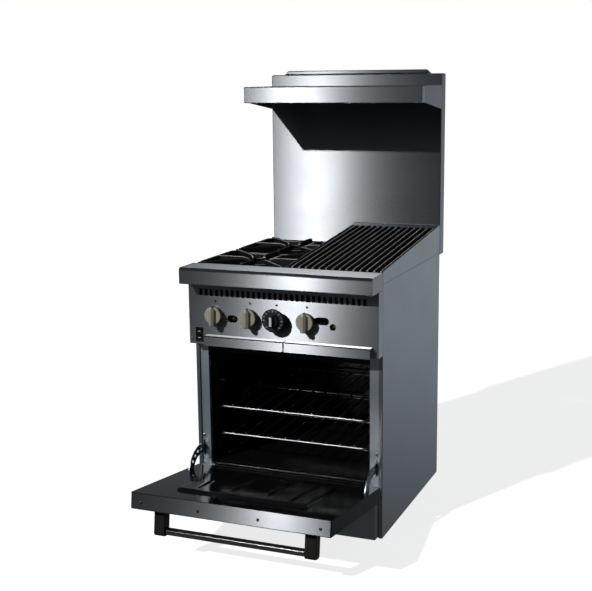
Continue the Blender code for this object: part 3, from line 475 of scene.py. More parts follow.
def rolled(name, slot, colour, rough, grain, lean=None, pull=0.0, turn=0.0, cloudy=0.04):
    """Rolled sheet: streaks along the grain and slow clouds in the polish.

    A brush leaves saw-tooth grooves, so the reflecting facets may lean by a constant slope from the sheet.
    """
    paint = Paint(name, slot, Metallic=1.0, Anisotropic=pull, Anisotropic_Rotation=turn)
    fine = paint.noise(grain, 0.0, 0.5)
    broad = paint.noise(tuple(g * 0.25 for g in grain), 1.0)
    cloud = paint.noise(6.0, 3.0)
    tone = fine * 0.2 + broad * 0.4 + cloud * 0.4
    paint.put(
        Base_Color=paint.mix(tone, shade(colour, 0.92), shade(colour, 1.08)),
        Roughness=rough + (broad - 0.5) * 0.012 + (cloud - 0.5) * cloudy,
    )
    if lean:
        here = paint.add("ShaderNodeTexCoord", out="Object")
        slope = paint.add("ShaderNodeVectorMath", {"operation": "DOT_PRODUCT"}, {0: here, 1: lean}, out=1)
        paint.put(Normal=paint.bump(slope, 1.0))
    return paint


def brushed(name, colour, sway):
    """Stainless sheet brushed from side to side. sway leans its facets a little to the left or right."""
    grain = (6.0, 6.0, 380.0)
    return rolled(name, "stainless", colour, 0.255, grain, (sway, 0.0, -0.38), pull=1.0, turn=0.25)


def cast(name, slot, colour, rough):
    """Seasoned cast iron: a coarse sand texture over broad lumps, and lighter patches."""
    paint = Paint(name, slot, Metallic=0.0, Specular_IOR_Level=0.45)
    sand = paint.noise(900.0, 4.0, 0.7)
    lumps = paint.noise(120.0, 3.0)
    patch = paint.noise(22.0, 3.0)
    paint.put(
        Base_Color=paint.mix(patch.between(0.35, 0.7), shade(colour, 0.75), shade(colour, 1.7)),
        Roughness=rough + (patch - 0.5) * 0.25 + (sand - 0.5) * 0.2,
        Normal=paint.bump(sand + lumps * 2.0, 0.00022),
    )
    return paint


def enamel(name, slot, colour, rough, shine=0.6):
    """Fired enamel: glossy, a little wavy like orange peel, with pinprick pale specks."""
    paint = Paint(name, slot, Metallic=0.0, Specular_IOR_Level=shine)
    peel = paint.noise(260.0, 2.0)
    wave = paint.noise(16.0, 2.0)
    dots = 1.0 - paint.speck(420.0).between(0.10, 0.16)
    keep = paint.noise(160.0, 1.0).between(0.55, 0.6)
    film = paint.noise(9.0, 4.0)
    paint.put(
        Base_Color=paint.mix(dots * keep * 0.6, colour, (0.16, 0.17, 0.18)),
        Roughness=rough + film.between(0.45, 0.8) * 0.10,
        Normal=paint.bump(peel * 0.3 + wave, 0.00016),
    )
    return paint


def polished(name, slot, colour, rough):
    """Plated or polished metal with duller patches."""
    paint = Paint(name, slot, Metallic=1.0)
    haze = paint.noise(40.0, 3.0)
    fine = paint.noise(700.0, 2.0)
    paint.put(
        Base_Color=paint.mix(haze, shade(colour, 0.9), shade(colour, 1.06)),
        Roughness=rough + haze.between(0.4, 0.8) * 0.12,
        Normal=paint.bump(fine, 0.00002),
    )
    return paint


def satin(name, slot, colour, rough, metal=0.0, grit=1400.0, spread=0.12, depth=0.00004):
    """Satin paint, plastic or die casting: fine peel, slight cloudiness and smoother areas."""
    paint = Paint(name, slot, Metallic=metal)
    peel = paint.noise(grit, 2.0)
    cloud = paint.noise(26.0, 3.0)
    paint.put(
        Base_Color=paint.mix(cloud, shade(colour, 1.0 - spread), shade(colour, 1.0 + spread)),
        Roughness=rough + (cloud - 0.5) * 0.2,
        Normal=paint.bump(peel, depth),
    )
    return paint


def galvanised(name, slot, colour, rough=0.4):
    """Zinc coated sheet: frozen crystals, each a little lighter or darker, under a dull bloom."""
    paint = Paint(name, slot, Metallic=0.85)
    spangle = paint.add("ShaderNodeSeparateColor", None, {0: paint.speck(90.0, "Color")})
    bloom = paint.noise(12.0, 4.0)
    paint.put(
        Base_Color=paint.mix(spangle * 0.6 + bloom * 0.4, shade(colour, 0.8), shade(colour, 1.15)),
        Roughness=rough + (spangle - 0.5) * 0.14 + (bloom - 0.5) * 0.15,
        Normal=paint.bump(paint.noise(500.0, 2.0), 0.00003),
    )
    return paint


def shadow_and_black_band(paint, low, high, half):
    """Base colour taken nearly to black between two heights and inside a half width: painted shadow on the header,
    a near-black band on the sill.
    """
    undarkened = Wire(paint, paint.shader.inputs["Base Color"].links[0].from_socket)
    across = paint.add("ShaderNodeSeparateXYZ", None, {0: paint.spot()})
    height = Wire(paint, across.socket.node.outputs[2])
    share = (height > low) * (height < high) * (abs(across) < half) * 0.97
    paint.put(Base_Color=paint.mix(share, undarkened, (0.010, 0.010, 0.010)))


STEEL = (0.60, 0.62, 0.65)
steel = brushed("brushed_steel", STEEL, -0.004)
# The riser, shelf and door copies are this stainless with its colour scaled: painted light, the shelf's lighter to
# brighten its highlight, the riser's and door's darker to dim theirs.
steel_riser = brushed("brushed_steel_riser", shade(STEEL, 0.95), 0.003)
steel_shelf = brushed("brushed_steel_shelf", shade(STEEL, 1.3), -0.007)
steel_door = brushed("brushed_steel_door", shade(STEEL, 0.72), -0.003)
steel_top = rolled("brushed_steel_level", "stainless", STEEL, 0.22, (6.0, 380.0, 6.0), (0.03, 2.05, 0.0))
# Near-black coat for the door's side faces: painted shade, the right side darkened as it lies in shadow, the left
# side with it.
door_side_painted_shade = satin("door_flank", "stainless", (0.022, 0.023, 0.025), 0.45, 0.4)
side_steel = rolled("side_steel", "side_steel", (0.50, 0.54, 0.57), 0.36, (9.0, 900.0, 12.0), cloudy=0.12)
zinc = galvanised("zinc_sheet", "zinc_steel", (0.50, 0.53, 0.56))
arm_zinc = galvanised("arm_zinc", "zinc_steel", (0.24, 0.27, 0.29), 0.34)
stile_zinc = rolled("stile_sheet", "zinc_steel", (0.78, 0.87, 0.95), 0.42, (600.0, 600.0, 20.0), cloudy=0.15)
# The header band: painted shadow of the crumb trays and control panel above it.
shadow_and_black_band(stile_zinc, 0.5200, 0.5800, 0.2640)      # the header
# The sill band: darkened nearly to black below the mouth.
shadow_and_black_band(stile_zinc, 0.1000, 0.1790, 0.2620)      # the sill
iron = cast("seasoned_iron", "black_iron", (0.007, 0.007, 0.008), 0.50)
broil_iron = cast("broiler_iron", "black_iron", (0.003, 0.003, 0.0034), 0.78)
# Pale coat for iron faces that lean towards the key light: painted highlight.
iron_painted_highlight = satin("iron_painted_highlight", "black_iron", (0.85, 0.85, 0.84), 0.42, 0.2)
oven_enamel = enamel("oven_enamel", "black_enamel", (0.008, 0.008, 0.009), 0.16)
liner_enamel = enamel("liner_enamel", "black_enamel", (0.008, 0.008, 0.009), 0.09, 0.3)
wire_chrome = polished("wire_chrome", "chrome_wire", (0.30, 0.31, 0.31), 0.30)
bar_chrome = polished("handle_chrome", "handle_tube", (0.62, 0.61, 0.59), 0.13)
knob_coat = satin("knob_casting", "knob_metal", (0.56, 0.53, 0.43), 0.38, 0.15)
dial_coat = satin("dial_black", "dial_black", (0.014, 0.015, 0.018), 0.34)
dial_grey = satin("dial_scale", "dial_black", (0.045, 0.050, 0.058), 0.40, 0.3)
white_mark = satin("white_mark", "dial_black", (0.95, 0.95, 0.93), 0.5)
switch_coat = satin("switch_black", "switch_black", (0.012, 0.012, 0.012), 0.34)
brass_coat = polished("valve_brass", "brass", (0.62, 0.43, 0.17), 0.28)
bracket_coat = satin("bracket_paint", "bracket_black", (0.022, 0.019, 0.015), 0.40, 0.2)
# A pale colour that stands in for light: painted light, so that the kick panel reads lit in the shadow of the open
# door.
kick_coat = satin("kick_paint", "side_steel", (0.74, 0.77, 0.77), 0.50, 0.3, 600.0)
top_coat = satin("cooktop_paint", "side_steel", (0.02, 0.021, 0.022), 0.45, 0.4, 600.0)
wool_coat = satin("wool_board", "wool", (0.62, 0.58, 0.42), 0.95, 0.0, 300.0, 0.25, 0.0012)
screw_coat = polished("screw_steel", "stainless", (0.60, 0.61, 0.62), 0.14)
dark_screw = polished("dark_screw", "bracket_black", (0.10, 0.10, 0.10), 0.35)

# ---- door frame of reference
hinge = next(j for j in frame["joints"] if j["name"] == "oven_door")
PIVOT = Vector(hinge["pos_m"])
OPEN = -math.radians(hinge["range_deg"][0])
ON_DOOR = Matrix.Translation(PIVOT) @ Matrix.Rotation(OPEN, 4, "X")


def hung(form):
    """A form drawn on the shut door, its origin on the hinge line, carried to the open door."""
    return moved(form, ON_DOOR)


# ---- cabinet
def cabinet():
    """Folded side sheets, the kick panel, and the other sheets with their edges broken."""
    for side, node in ((-1.0, "side_panel_left"), (1.0, "side_panel_right")):
        low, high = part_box(node)
        outer = low.x if side < 0 else high.x
        inner = high.x if side < 0 else low.x
        line = [(inner, low.y), (outer, low.y), (outer, high.y), (inner, high.y)]
        section = folded(line, -SHEET if side < 0 else SHEET, 0.0022)
        piece(f"side_sheet_{'left' if side < 0 else 'right'}", [plate(section, 2, low.z, high.z, 0.0003)],
              "body", side_steel, (node,), 50.0)
    low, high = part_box("kick_panel")
    kick = dish((low.x, high.x), (low.z, high.z), low.y, high.y, SHEET, 0.003, 0.003)
    piece("kick_sheet", [kick], "body", kick_coat, ("kick_panel",))
    eased("front_frame_sheet", "oven_front_frame", 0.0004, "body", stile_zinc)
    for node in ("back_panel", "riser_back", "base_pan"):
        eased(node + "_sheet", node, 0.0003, "body", zinc)


def mouth():
    """The enamelled sill below the opening: a thin lip with two rolled beads along it."""
    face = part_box("oven_front_frame")[0].y
    half = 0.2600
    line = [(face - 0.0004, 0.1335), (face - 0.0004, 0.1748), (face + 0.0100, 0.1748)]
    section = folded(line, -0.0008, 0.0016)
    piece("mouth_lip", [plate(section, 0, -half, half, 0.0002, 1)], "body", oven_enamel)
    beads = [rod([(x, face - 0.0008, z) for x in (-half, 0.0, half)], 0.0010, 8) for z in (0.1715, 0.1640)]
    piece("mouth_beads", beads, "body", oven_enamel)


def oven():
    """The cavity, its floor and rack guides, and two racks of round wire."""
    eased("oven_cavity", "oven_liner", 0.0004, "body", oven_enamel)
    eased("oven_floor_plate", "oven_floor", 0.0004, "body", oven_enamel)
    for node in ("rack_guide_left", "rack_guide_right"):
        eased(node + "_chrome", node, 0.0003, "body", wire_chrome)
    for level in ("upper", "lower"):
        node = "oven_rack_" + level
        low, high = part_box(node)
        frame_r = 0.0035
        z = low.z + frame_r
        x = high.x - frame_r
        y0, y1 = low.y + frame_r, high.y - frame_r
        corners = [(-x, y0, z), (x, y0, z), (x, y1, z), (-x, y1, z)]
        forms = [rod(rounded(corners, 0.012, 6), frame_r, 10, looped=True)]
        middle = 0.5 * (y0 + y1)
        forms.append(rod([(-x, middle, z), (x, middle, z)], 0.0033, 10))
        for i in range(10):
            wire_x = (i - 4.5) * 0.0447
            line = [(wire_x, y, z + 0.0048) for y in (y0 - 0.001, middle, y1 + 0.001)]
            forms.append(rod(line, 0.0023, 8))
        piece("rack_wires_" + level, forms, "rack_" + level, wire_chrome, (node,), 60.0)


# ---- door
def liner_height(x, z):
    """Flat, with a raised field whose border rises smoothly over 10 mm, crossed by four pressed creases."""
    inside = np.minimum(0.203 - np.abs(x), np.minimum(z - 0.0854, 0.3324 - z))
    rise = np.clip(inside / 0.010, 0.0, 1.0)
    height = 0.0080 * rise * rise * (3 - 2 * rise)
    creases = ((-0.145, 0.20, 0.31), (-0.045, 0.13, 0.29), (0.065, 0.09, 0.29), (0.145, 0.09, 0.32))
    for middle, low, high in creases:
        across = (x - middle) / 0.0045
        along = np.clip(np.minimum(z - low, high - z) / 0.02, 0.0, 1.0)
        height = height - 0.0030 * np.exp(-across * across) * along
    return height


def door():
    """The skin, the liner, the handle and the arms, drawn shut and hung on the hinge line."""
    outer_low = -0.0284
    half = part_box("door_outer_panel")[1].x
    pan = dish((-half, half), (-0.0110, 0.4104), outer_low, 0.0182, SHEET, 0.0030, 0.004)
    # The door's side faces take the near-black coat: painted shade.
    piece("door_skin", [hung(pan)], "door", steel_door, ("door_outer_panel",), 40.0, side_coat=door_side_painted_shade)
    x = [np.linspace(-half + 0.0003, half - 0.0003, 61), np.linspace(-0.206, 0.206, 160)]
    x = np.unique(np.concatenate(x))
    z = [np.linspace(-0.0107, 0.4101, 41), np.linspace(0.083, 0.098, 14), np.linspace(0.320, 0.335, 14)]
    z = np.unique(np.concatenate(z))
    points, faces = slab(x, z, liner_height, 0.0012)
    flat = np.stack([points[:, 0], points[:, 2] + 0.0199, points[:, 1]], 1)
    piece("door_liner_pressing", [hung((flat, faces))], "door", liner_enamel, ("door_liner",), 50.0)
    bar_y, bar_z = -0.0944, 0.3555
    reach = 0.2130
    tube = rod([(-reach, bar_y, bar_z), (0.0, bar_y, bar_z), (reach, bar_y, bar_z)], 0.011, 40)
    piece("handle_tube", [hung(tube)], "door", bar_chrome, ("handle_bar",), 60.0)
    for side, name in ((-1.0, "left"), (1.0, "right")):
        root, neck, tip = outer_low - 0.0005, outer_low - 0.014, bar_y - 0.014
        profile = rounded([
            (root, bar_z - 0.020), (root, bar_z + 0.020), (neck, bar_z + 0.016),
            (tip, bar_z + 0.016), (tip, bar_z - 0.016), (neck, bar_z - 0.016),
        ], [0.001, 0.001, 0.010, 0.009, 0.009, 0.010], 5)
        x = side * 0.2302
        bracket = hung(plate(profile, 0, x - 0.017, x + 0.017, 0.0025, 3))
        piece("handle_bracket_casting_" + name, [bracket], "door", bracket_coat, ("handle_bracket_" + name,), 45.0)
        eased("hinge_arm_plate_" + name, "hinge_arm_" + name, 0.0004, "door", arm_zinc)
    eased("wool_board", "door_insulation", 0.002, "door", wool_coat)


# ---- controls
def controls():
    """The control panel, the rolled landing rail above it and the two crumb trays below."""
    eased("control_panel_sheet", "control_panel", 0.0004, "body", steel)
    low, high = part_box("front_rail")
    line = [(low.y + 0.058, low.z), (low.y, low.z), (low.y, high.z), (high.y, high.z)]
    outer = rounded(line, [0.0, 0.003, 0.010, 0.0], 7, closed=False)
    section = np.concatenate([outer, offset(outer, -SHEET, closed=False)[::-1]])
    end = np.concatenate([outer, [(high.y, low.z)]])
    rail = [plate(section, 0, low.x + 0.0004, high.x - 0.0004, 0.0002, 1)]
    rail += [plate(end, 0, low.x, low.x + SHEET, 0.0005), plate(end, 0, high.x - SHEET, high.x, 0.0005)]
    piece("landing_rail", rail, "body", steel, ("front_rail",), 50.0, top_coat=steel_top)
    for side in ("left", "right"):
        node = "crumb_tray_" + side
        low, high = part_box(node)
        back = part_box("control_panel")[0].y - 0.0015
        line = [(back, high.z), (low.y, high.z), (low.y, low.z)]
        outer = rounded(line, [0.0, 0.0040, 0.0], 6, closed=False)
        section = np.concatenate([outer, offset(outer, SHEET, closed=False)[::-1]])
        cheek = np.concatenate([outer, [(back, low.z)]])
        forms = [plate(section, 0, low.x + 0.0004, high.x - 0.0004, 0.0003, 1)]
        forms += [plate(cheek, 0, low.x, low.x + SHEET, 0.0005), plate(cheek, 0, high.x - SHEET, high.x, 0.0005)]
        pan_x, pan_y = (low.x + 0.008, high.x - 0.008), (low.y + 0.0010, high.y)
        forms.append(dish(pan_x, pan_y, 0.5745, 0.5925, SHEET, 0.003, 0.006, 2))
        piece("crumb_tray_sheet_" + side, forms, "tray_" + side, steel, (node,), 50.0, top_coat=steel_top)


def lever_knob(name, node, body):
    """A barrel skirt with a domed face, crossed by a tall grip bar whose top is a pointed roof."""
    low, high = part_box(node)
    x, z = 0.5 * (low.x + high.x), KNOB_Z
    face = high.y + 0.004
    skirt = [
        (0.0, -0.004), (0.0232, -0.004), (0.0245, -0.0052), (0.0262, -0.014), (0.0272, -0.0225),
        (0.0270, -0.0240), (0.0262, -0.0253), (0.0248, -0.0260), (0.0215, -0.0262), (0.0, -0.0262),
    ]
    t = np.array([-0.0300, -0.0296, -0.0285, -0.0270, -0.010, 0.008, 0.0185, 0.0205, 0.0285, 0.0303, 0.0308])
    wide = np.array([0.90, 0.97, 1.0, 1.0, 1.02, 1.06, 1.10, 1.04, 0.30, 0.14, 0.05])
    tall = np.array([0.55, 0.85, 0.96, 1.0, 1.0, 1.0, 1.0, 1.0, 0.86, 0.78, 0.60])
    half = np.array([-0.0098, -0.0092, -0.0078, -0.0060, -0.0022, 0.0022, 0.0060, 0.0078, 0.0092, 0.0098])
    deep = np.array([-0.0200, -0.0330, -0.0352, -0.0362, -0.0400, -0.0400, -0.0362, -0.0352, -0.0330, -0.0200])
    ridge = np.stack([
        x + wide[:, None] * half,
        face - 0.0200 + tall[:, None] * (deep + 0.0200),
        np.broadcast_to(z + t[:, None], (len(t), len(half))),
    ], -1)
    forms = [turned(skirt, (x, face, z), 1, 48), skin(ridge)]
    piece(name, forms, body, knob_coat, (node,), 42.0)


def knobs():
    """Three lever knobs, and the thermostat's dial with its ring, ticks and pointer."""
    lever_knob("lever_knob_front", "burner_knob_front", "knob_front")
    lever_knob("lever_knob_rear", "burner_knob_rear", "knob_rear")
    lever_knob("lever_knob_broiler", "broiler_knob", "knob_broiler")
    low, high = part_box("thermostat_knob")
    x, z, face = 0.5 * (low.x + high.x), KNOB_Z, high.y + 0.004
    skirt = [
        (0.0, -0.004), (0.0250, -0.004), (0.0278, -0.022), (0.0350, -0.0252), (0.0357, -0.0280),
        (0.0350, -0.0298), (0.0330, -0.0303), (0.0328, -0.0296), (0.0, -0.0296),
    ]
    hub = [
        (0.0, -0.0290), (0.0210, -0.0290), (0.0205, -0.0320), (0.0188, -0.0385), (0.0178, -0.0398), (0.0, -0.0402),
    ]
    bar = plate(rectangle(x - 0.0062, x + 0.0062, z - 0.0165, z + 0.0165, 0.0055, 4),
                1, face - 0.0495, face - 0.038, 0.0012, 2)
    black = [turned(skirt, (x, face, z), 1, 56), turned(hub, (x, face, z), 1, 40), bar]
    piece("dial_body", black, "knob_thermostat", dial_coat, ("thermostat_knob",), 42.0)
    ring = np.array([
        (0.0215, -0.0294), (0.0325, -0.0294), (0.0325, -0.0304), (0.0318, -0.0308), (0.0222, -0.0308),
        (0.0215, -0.0304), (0.0215, -0.0294),
    ])
    angle = np.arange(56) / 56 * TAU
    flat = np.stack([ring[:, :1] * np.cos(angle), ring[:, :1] * np.sin(angle)], -1)
    scale = skin(placed(flat, ring[:, 1:2], 1) + np.array([x, face, z]), capped=False)
    piece("dial_scale_ring", [scale], "knob_thermostat", dial_grey, (), 42.0)
    marks = []
    rim = 0.0312
    for i in range(13):
        a = math.radians(-135.0 + 22.5 * i) + math.pi / 2
        wide, long = (0.0006, 0.0034) if i % 2 else (0.0009, 0.0050)
        out = np.array([math.cos(a), math.sin(a)])
        side = np.array([-out[1], out[0]]) * wide
        tick = np.array([out * (rim - long) - side, out * rim - side, out * rim + side, out * (rim - long) + side])
        marks.append(plate(tick + [x, z], 1, face - 0.0310, face - 0.0306, 0.0001, 1))
    pointer = rectangle(x - 0.0038, x + 0.0038, z - 0.0135, z + 0.0135, 0.0006, 2)
    marks.append(plate(pointer, 1, face - 0.0499, face - 0.0490, 0.0002, 1))
    piece("dial_marks", marks, "knob_thermostat", white_mark)


def switch():
    """Two rockers with hollow faces, rocked 7 degrees, and a light mark on each."""
    eased("switch_frame", "switch_housing", 0.0003, "body", switch_coat)
    for side in ("upper", "lower"):
        node = "switch_rocker_" + side
        low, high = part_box(node)
        z, y = 0.5 * (low.z + high.z), 0.5 * (low.y + high.y)
        half = 0.0074
        t = np.linspace(-1.0, 1.0, 13)
        front = np.stack([y - 0.0027 - 0.0011 * t * t + 0.0006, z + half * t], 1)
        back = np.array([(y + 0.0028, z + half * 0.9), (y + 0.0028, z - half * 0.9)])
        tilt = math.radians(7.0)
        form = plate(np.concatenate([front, back]), 0, low.x + 0.0001, high.x - 0.0001, 0.0005, 2)
        mark = rectangle(SWITCH_X - 0.0042, SWITCH_X + 0.0042, z - 0.0012, z + 0.0012, 0.0004, 2)
        mark = plate(mark, 1, y - 0.0026, y - 0.0016, 0.0001, 1)
        turn = Matrix.Translation((0.0, y, z)) @ Matrix.Rotation(tilt, 4, "X") @ Matrix.Translation((0.0, -y, -z))
        piece("rocker_paddle_" + side, [moved(form, turn)], "rocker_" + side, switch_coat, (node,), 45.0)
        piece("rocker_mark_" + side, [moved(mark, turn)], "rocker_" + side, white_mark)


# ---- cooktop
def ports(angle, height):
    """Forty notches round the head's rim: the radius dips by 5 percent in each, between 750 and 764 mm up."""
    tooth = np.cos(angle * 40.0) > 0.2
    band = (height > 0.750) & (height < 0.7645)
    return 1.0 - 0.05 * (tooth & band)


def cooktop():
    """The pan, two cast burners with their caps, and the burners that only take a finish."""
    eased("cooktop_sheet", "cooktop_pan", 0.0004, "body", top_coat)
    for part_name, tx, tube_r in (("front", KNOB_XS[0], 0.017), ("rear", -0.080, 0.013)):
        low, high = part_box("burner_cap_" + part_name)
        x, y = 0.5 * (low.x + high.x), 0.5 * (low.y + high.y)
        head = [
            (0.0, 0.712), (0.030, 0.712), (0.038, 0.722), (0.046, 0.735), (0.0545, 0.745), (0.055, 0.7495),
            (0.055, 0.7505), (0.055, 0.757), (0.055, 0.764), (0.055, 0.765), (0.0545, 0.768), (0.0, 0.768),
        ]
        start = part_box("open_burner_" + part_name)[0].y
        tube = rod([(tx, along, 0.730) for along in (start, 0.5 * (start + y), y + 0.010)], tube_r, 20)
        branch = rod([(tx, y, 0.7302), (x, y, 0.7302)], tube_r * 0.98, 20)
        casting = [turned(head, (x, y, 0.0), 2, 160, ports), tube, branch]
        piece("burner_casting_" + part_name, casting, "body", iron, ("open_burner_" + part_name,), 40.0)
        cap = [
            (0.0, 0.7685), (0.0495, 0.7685), (0.0512, 0.7692), (0.0518, 0.7715), (0.0512, 0.7745), (0.0495, 0.7775),
            (0.0400, 0.7802), (0.0300, 0.7813), (0.0125, 0.7815), (0.0105, 0.7800), (0.0095, 0.7792), (0.0, 0.7790),
        ]
        piece("burner_cap_casting_" + part_name, [turned(cap, (x, y, 0.0), 2, 64)], "cap_" + part_name, iron,
              ("burner_cap_" + part_name,), 40.0)
        burner_grate(part_name, x, y)
    for node in ("oven_burner", "broiler_burner"):
        paint_node(node, iron)


def tapered(width, low, high, taper=0.0012, edge=0.0012):
    """A cast bar's section: narrower at the foot, its upper edges rounded. Given as (side, height) pairs."""
    w = width / 2.0
    return rounded([(-w + taper, low), (w - taper, low), (w, high), (-w, high)], [0.0006, 0.0006, edge, edge], 3)


def burner_grate(name, x, y):
    """A cast frame with raised side rails, eight fingers that climb towards it and a hoop under them."""
    node = "burner_grate_" + name
    low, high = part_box(node)
    bar = 0.012
    h = bar / 2.0
    corners = [(low.x + h, low.y + h), (high.x - h, low.y + h), (high.x - h, high.y - h), (low.x + h, high.y - h)]
    path = rounded([(*corner, 0.0) for corner in corners], 0.009, 6)
    forms = [sweep(path, tapered(bar, low.z, 0.7990, 0.0010, 0.0016), looped=True)]
    for side_x in (low.x + h, high.x - h):
        t = np.linspace(0.0, 1.0, 15)
        run = np.stack([np.full(15, side_x), low.y + 0.0005 + (high.y - low.y - 0.001) * t, np.zeros(15)], 1)
        ease = np.clip(np.minimum(t, 1 - t) / 0.10, 0.0, 1.0)
        top = 0.7995 + (high.z - 0.0015 - 0.7995) * ease * ease * (3 - 2 * ease)
        section = np.array([tapered(bar - 0.001, 0.7930, h_top, 0.0004, 0.0018) for h_top in top])
        forms.append(sweep(run, section))
    sides = ((low.x, y), (high.x, y), (x, low.y), (x, high.y))
    spots = [(spot, 0.010, 0.034, 0.004) for spot in sides]
    spots += [((cx, cy), 0.009, 0.046, 0.010) for cx in (low.x, high.x) for cy in (low.y, high.y)]
    for (sx, sy), wide, short, spare in spots:
        way = np.array([sx - x, sy - y])
        length = np.linalg.norm(way) - spare
        way /= np.linalg.norm(way)
        r = np.array([short, short + 0.004, short + 0.012, short + 0.024, length * 0.6, length * 0.8, length])
        lift = np.array([0.8045, 0.8068, 0.8100, high.z, high.z, high.z, high.z - 0.0006])
        foot = np.array([0.7950, 0.7940, 0.7925, 0.7905, 0.7885, 0.7885, 0.7885])
        run = np.stack([x + way[0] * r, y + way[1] * r, np.zeros(len(r))], 1)
        section = np.array([tapered(wide, a, b, 0.0012, 0.0020) for a, b in zip(foot, lift)])
        forms.append(sweep(run, section))
    hoop = np.concatenate([circle(0.062, 64) + [x, y], np.zeros((64, 1))], 1)
    forms.append(sweep(hoop, tapered(0.008, 0.7900, 0.7990, 0.0008, 0.0012), looped=True))
    # Finger and rail faces leaning to the front left take the pale coat as a painted highlight.
    piece("grate_casting_" + name, forms, "grate_" + name, iron, (node,), 40.0, painted_highlight=(iron_painted_highlight, 0.45, 0.90))


# ---- broiler
def broiler_bar(foot, top):
    """A bar's section, wide at the top and narrow at the foot, with a strip set lower along its left edge that
    carries a painted highlight.
    """
    corners = [
        (-0.0020, foot), (0.0020, foot), (0.0045, top - 0.0016), (0.0034, top), (-0.0014, top),
        (-0.0036, top - 0.0003), (-0.0045, top - 0.0016),
    ]
    return rounded(corners, [0.0008, 0.0008, 0.0003, 0.0003, 0.0002, 0.0002, 0.0003], 2)


def broiler():
    """Two seven-bar grates that climb to the rear on three cross bars each, their walls and the ledge."""
    pitch = 0.0213
    for side in ("left", "right"):
        node = "broiler_grate_" + side
        low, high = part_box(node)
        first = low.x + 0.0045
        y0, y1 = low.y, high.y
        z0, z1 = 0.812, 0.866
        rise = (z1 - z0) / (y1 - y0)
        forms = []
        for i in range(7):
            x = first + pitch * i
            t = np.array([0.0, 0.006, 0.012, 0.02, 0.25, 0.5, 0.75, 0.965, 0.985, 1.0])
            run = np.stack([np.full(len(t), x), y0 + (y1 - y0) * t, z0 + (z1 - z0) * t], 1)
            top = [-0.0030, -0.0012, -0.0002, 0, 0, 0, 0, 0, -0.0010, -0.0030]
            foot = [-0.0110, -0.0145, *[-0.0160] * 6, -0.0120, -0.0080]
            forms.append(sweep(run, np.array([broiler_bar(f, u) for f, u in zip(foot, top)])))
        last = first + pitch * 6
        for at in (0.012, 0.5 * (y1 - y0), (y1 - y0) - 0.030):
            y = y0 + at
            z = z0 + rise * at - 0.0133
            cross = rectangle(-0.005, 0.005, -0.0032, 0.0030, 0.001, 2)
            forms.append(sweep([(first - 0.002, y, z), (last + 0.002, y, z)], cross))
        # The bars' lowered left strips take the pale coat as a painted highlight.
        piece("broiler_bars_" + side, forms, "broiler_" + side, broil_iron, (node,), 40.0,
              painted_highlight=(iron_painted_highlight, 0.93, 1.01))
        wall = "broiler_wall_" + side
        low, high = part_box(wall)
        front = 0.8115 if side == "left" else 0.8150
        outline = [(low.y, low.z), (high.y, low.z), (high.y, high.z), (low.y, front)]
        coat = side_steel if side == "right" else steel
        piece("broiler_cheek_" + side, [plate(outline, 0, low.x, high.x, 0.0005)], "body", coat, (wall,), 50.0)
    low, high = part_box("broiler_rear_ledge")
    line = [(low.y, low.z), (low.y, high.z), (high.y, high.z)]
    section = folded(line, -SHEET, 0.002)
    piece("rear_ledge_sheet", [plate(section, 0, low.x, high.x, 0.0003)], "body", steel,
          ("broiler_rear_ledge",), 50.0, top_coat=steel_top)
    paint_node("broiler_radiant", zinc)


# ---- riser and shelf
def riser():
    """The backguard's dished face, its cap, and the shelf: a folded front, a deck and two cheeks."""
    low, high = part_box("riser_panel")
    sheet = dish((low.x, high.x), (low.z, high.z), low.y, high.y - 0.0016, SHEET, 0.0030, 0.006)
    piece("riser_sheet", [sheet], "body", steel_riser, ("riser_panel",), 40.0, top_coat=steel_top)
    low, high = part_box("riser_cap")
    run_in = 0.0137
    outline = [(low.x, low.z), (high.x, low.z), (high.x - run_in, high.z), (low.x + run_in, high.z)]
    outline = rounded(outline, [0.0005, 0.0005, 0.006, 0.006], 4)
    piece("riser_cap_sheet", [plate(outline, 1, low.y, high.y, 0.0025, 3)], "body", steel_riser,
          ("riser_cap",), 40.0, top_coat=steel_top)
    low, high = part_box("shelf")
    wrap = low.y + 0.032
    path = [(low.x, wrap), (low.x, low.y), (high.x, low.y), (high.x, wrap)]
    path = rounded(path, [0.0, 0.003, 0.003, 0.0], 5, closed=False)
    path = np.concatenate([path, np.zeros((len(path), 1))], 1)
    z0, z1 = low.z, high.z
    bend = [(0.014, z0), (0.0, z0), (0.0, z1), (0.014, z1)]
    bend = rounded(bend, [0.0, 0.0022, 0.0028, 0.0], 5, closed=False)
    inner = offset(bend, -SHEET, closed=False)[::-1]
    section = np.concatenate([bend, inner])
    section[:, 0] *= -1.0
    deck = rectangle(low.x + 0.0130, high.x - 0.0130, low.y + 0.0130, high.y, 0.003, 2)
    strip = rectangle(low.x + 0.0020, high.x - 0.0020, wrap, high.y, 0.0, 2)
    forms = [sweep(path, section)]
    forms.append(plate(deck, 2, z1 - SHEET, z1 - 0.00005, 0.0002, 1))
    forms.append(plate(strip, 2, z1 - 0.0017, z1 - 0.0002, 0.0002, 1))
    piece("shelf_sheet", forms, "body", steel_shelf, ("shelf",), 45.0, top_coat=steel_top)
    for side in ("left", "right"):
        node = "shelf_end_" + side
        low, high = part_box(node)
        outline = [(low.y, 1.2840), (low.y, high.z), (high.y, high.z), (high.y, low.z)]
        piece("shelf_cheek_" + side, [plate(outline, 0, low.x, high.x, 0.0005)], "body", steel, (node,), 50.0)


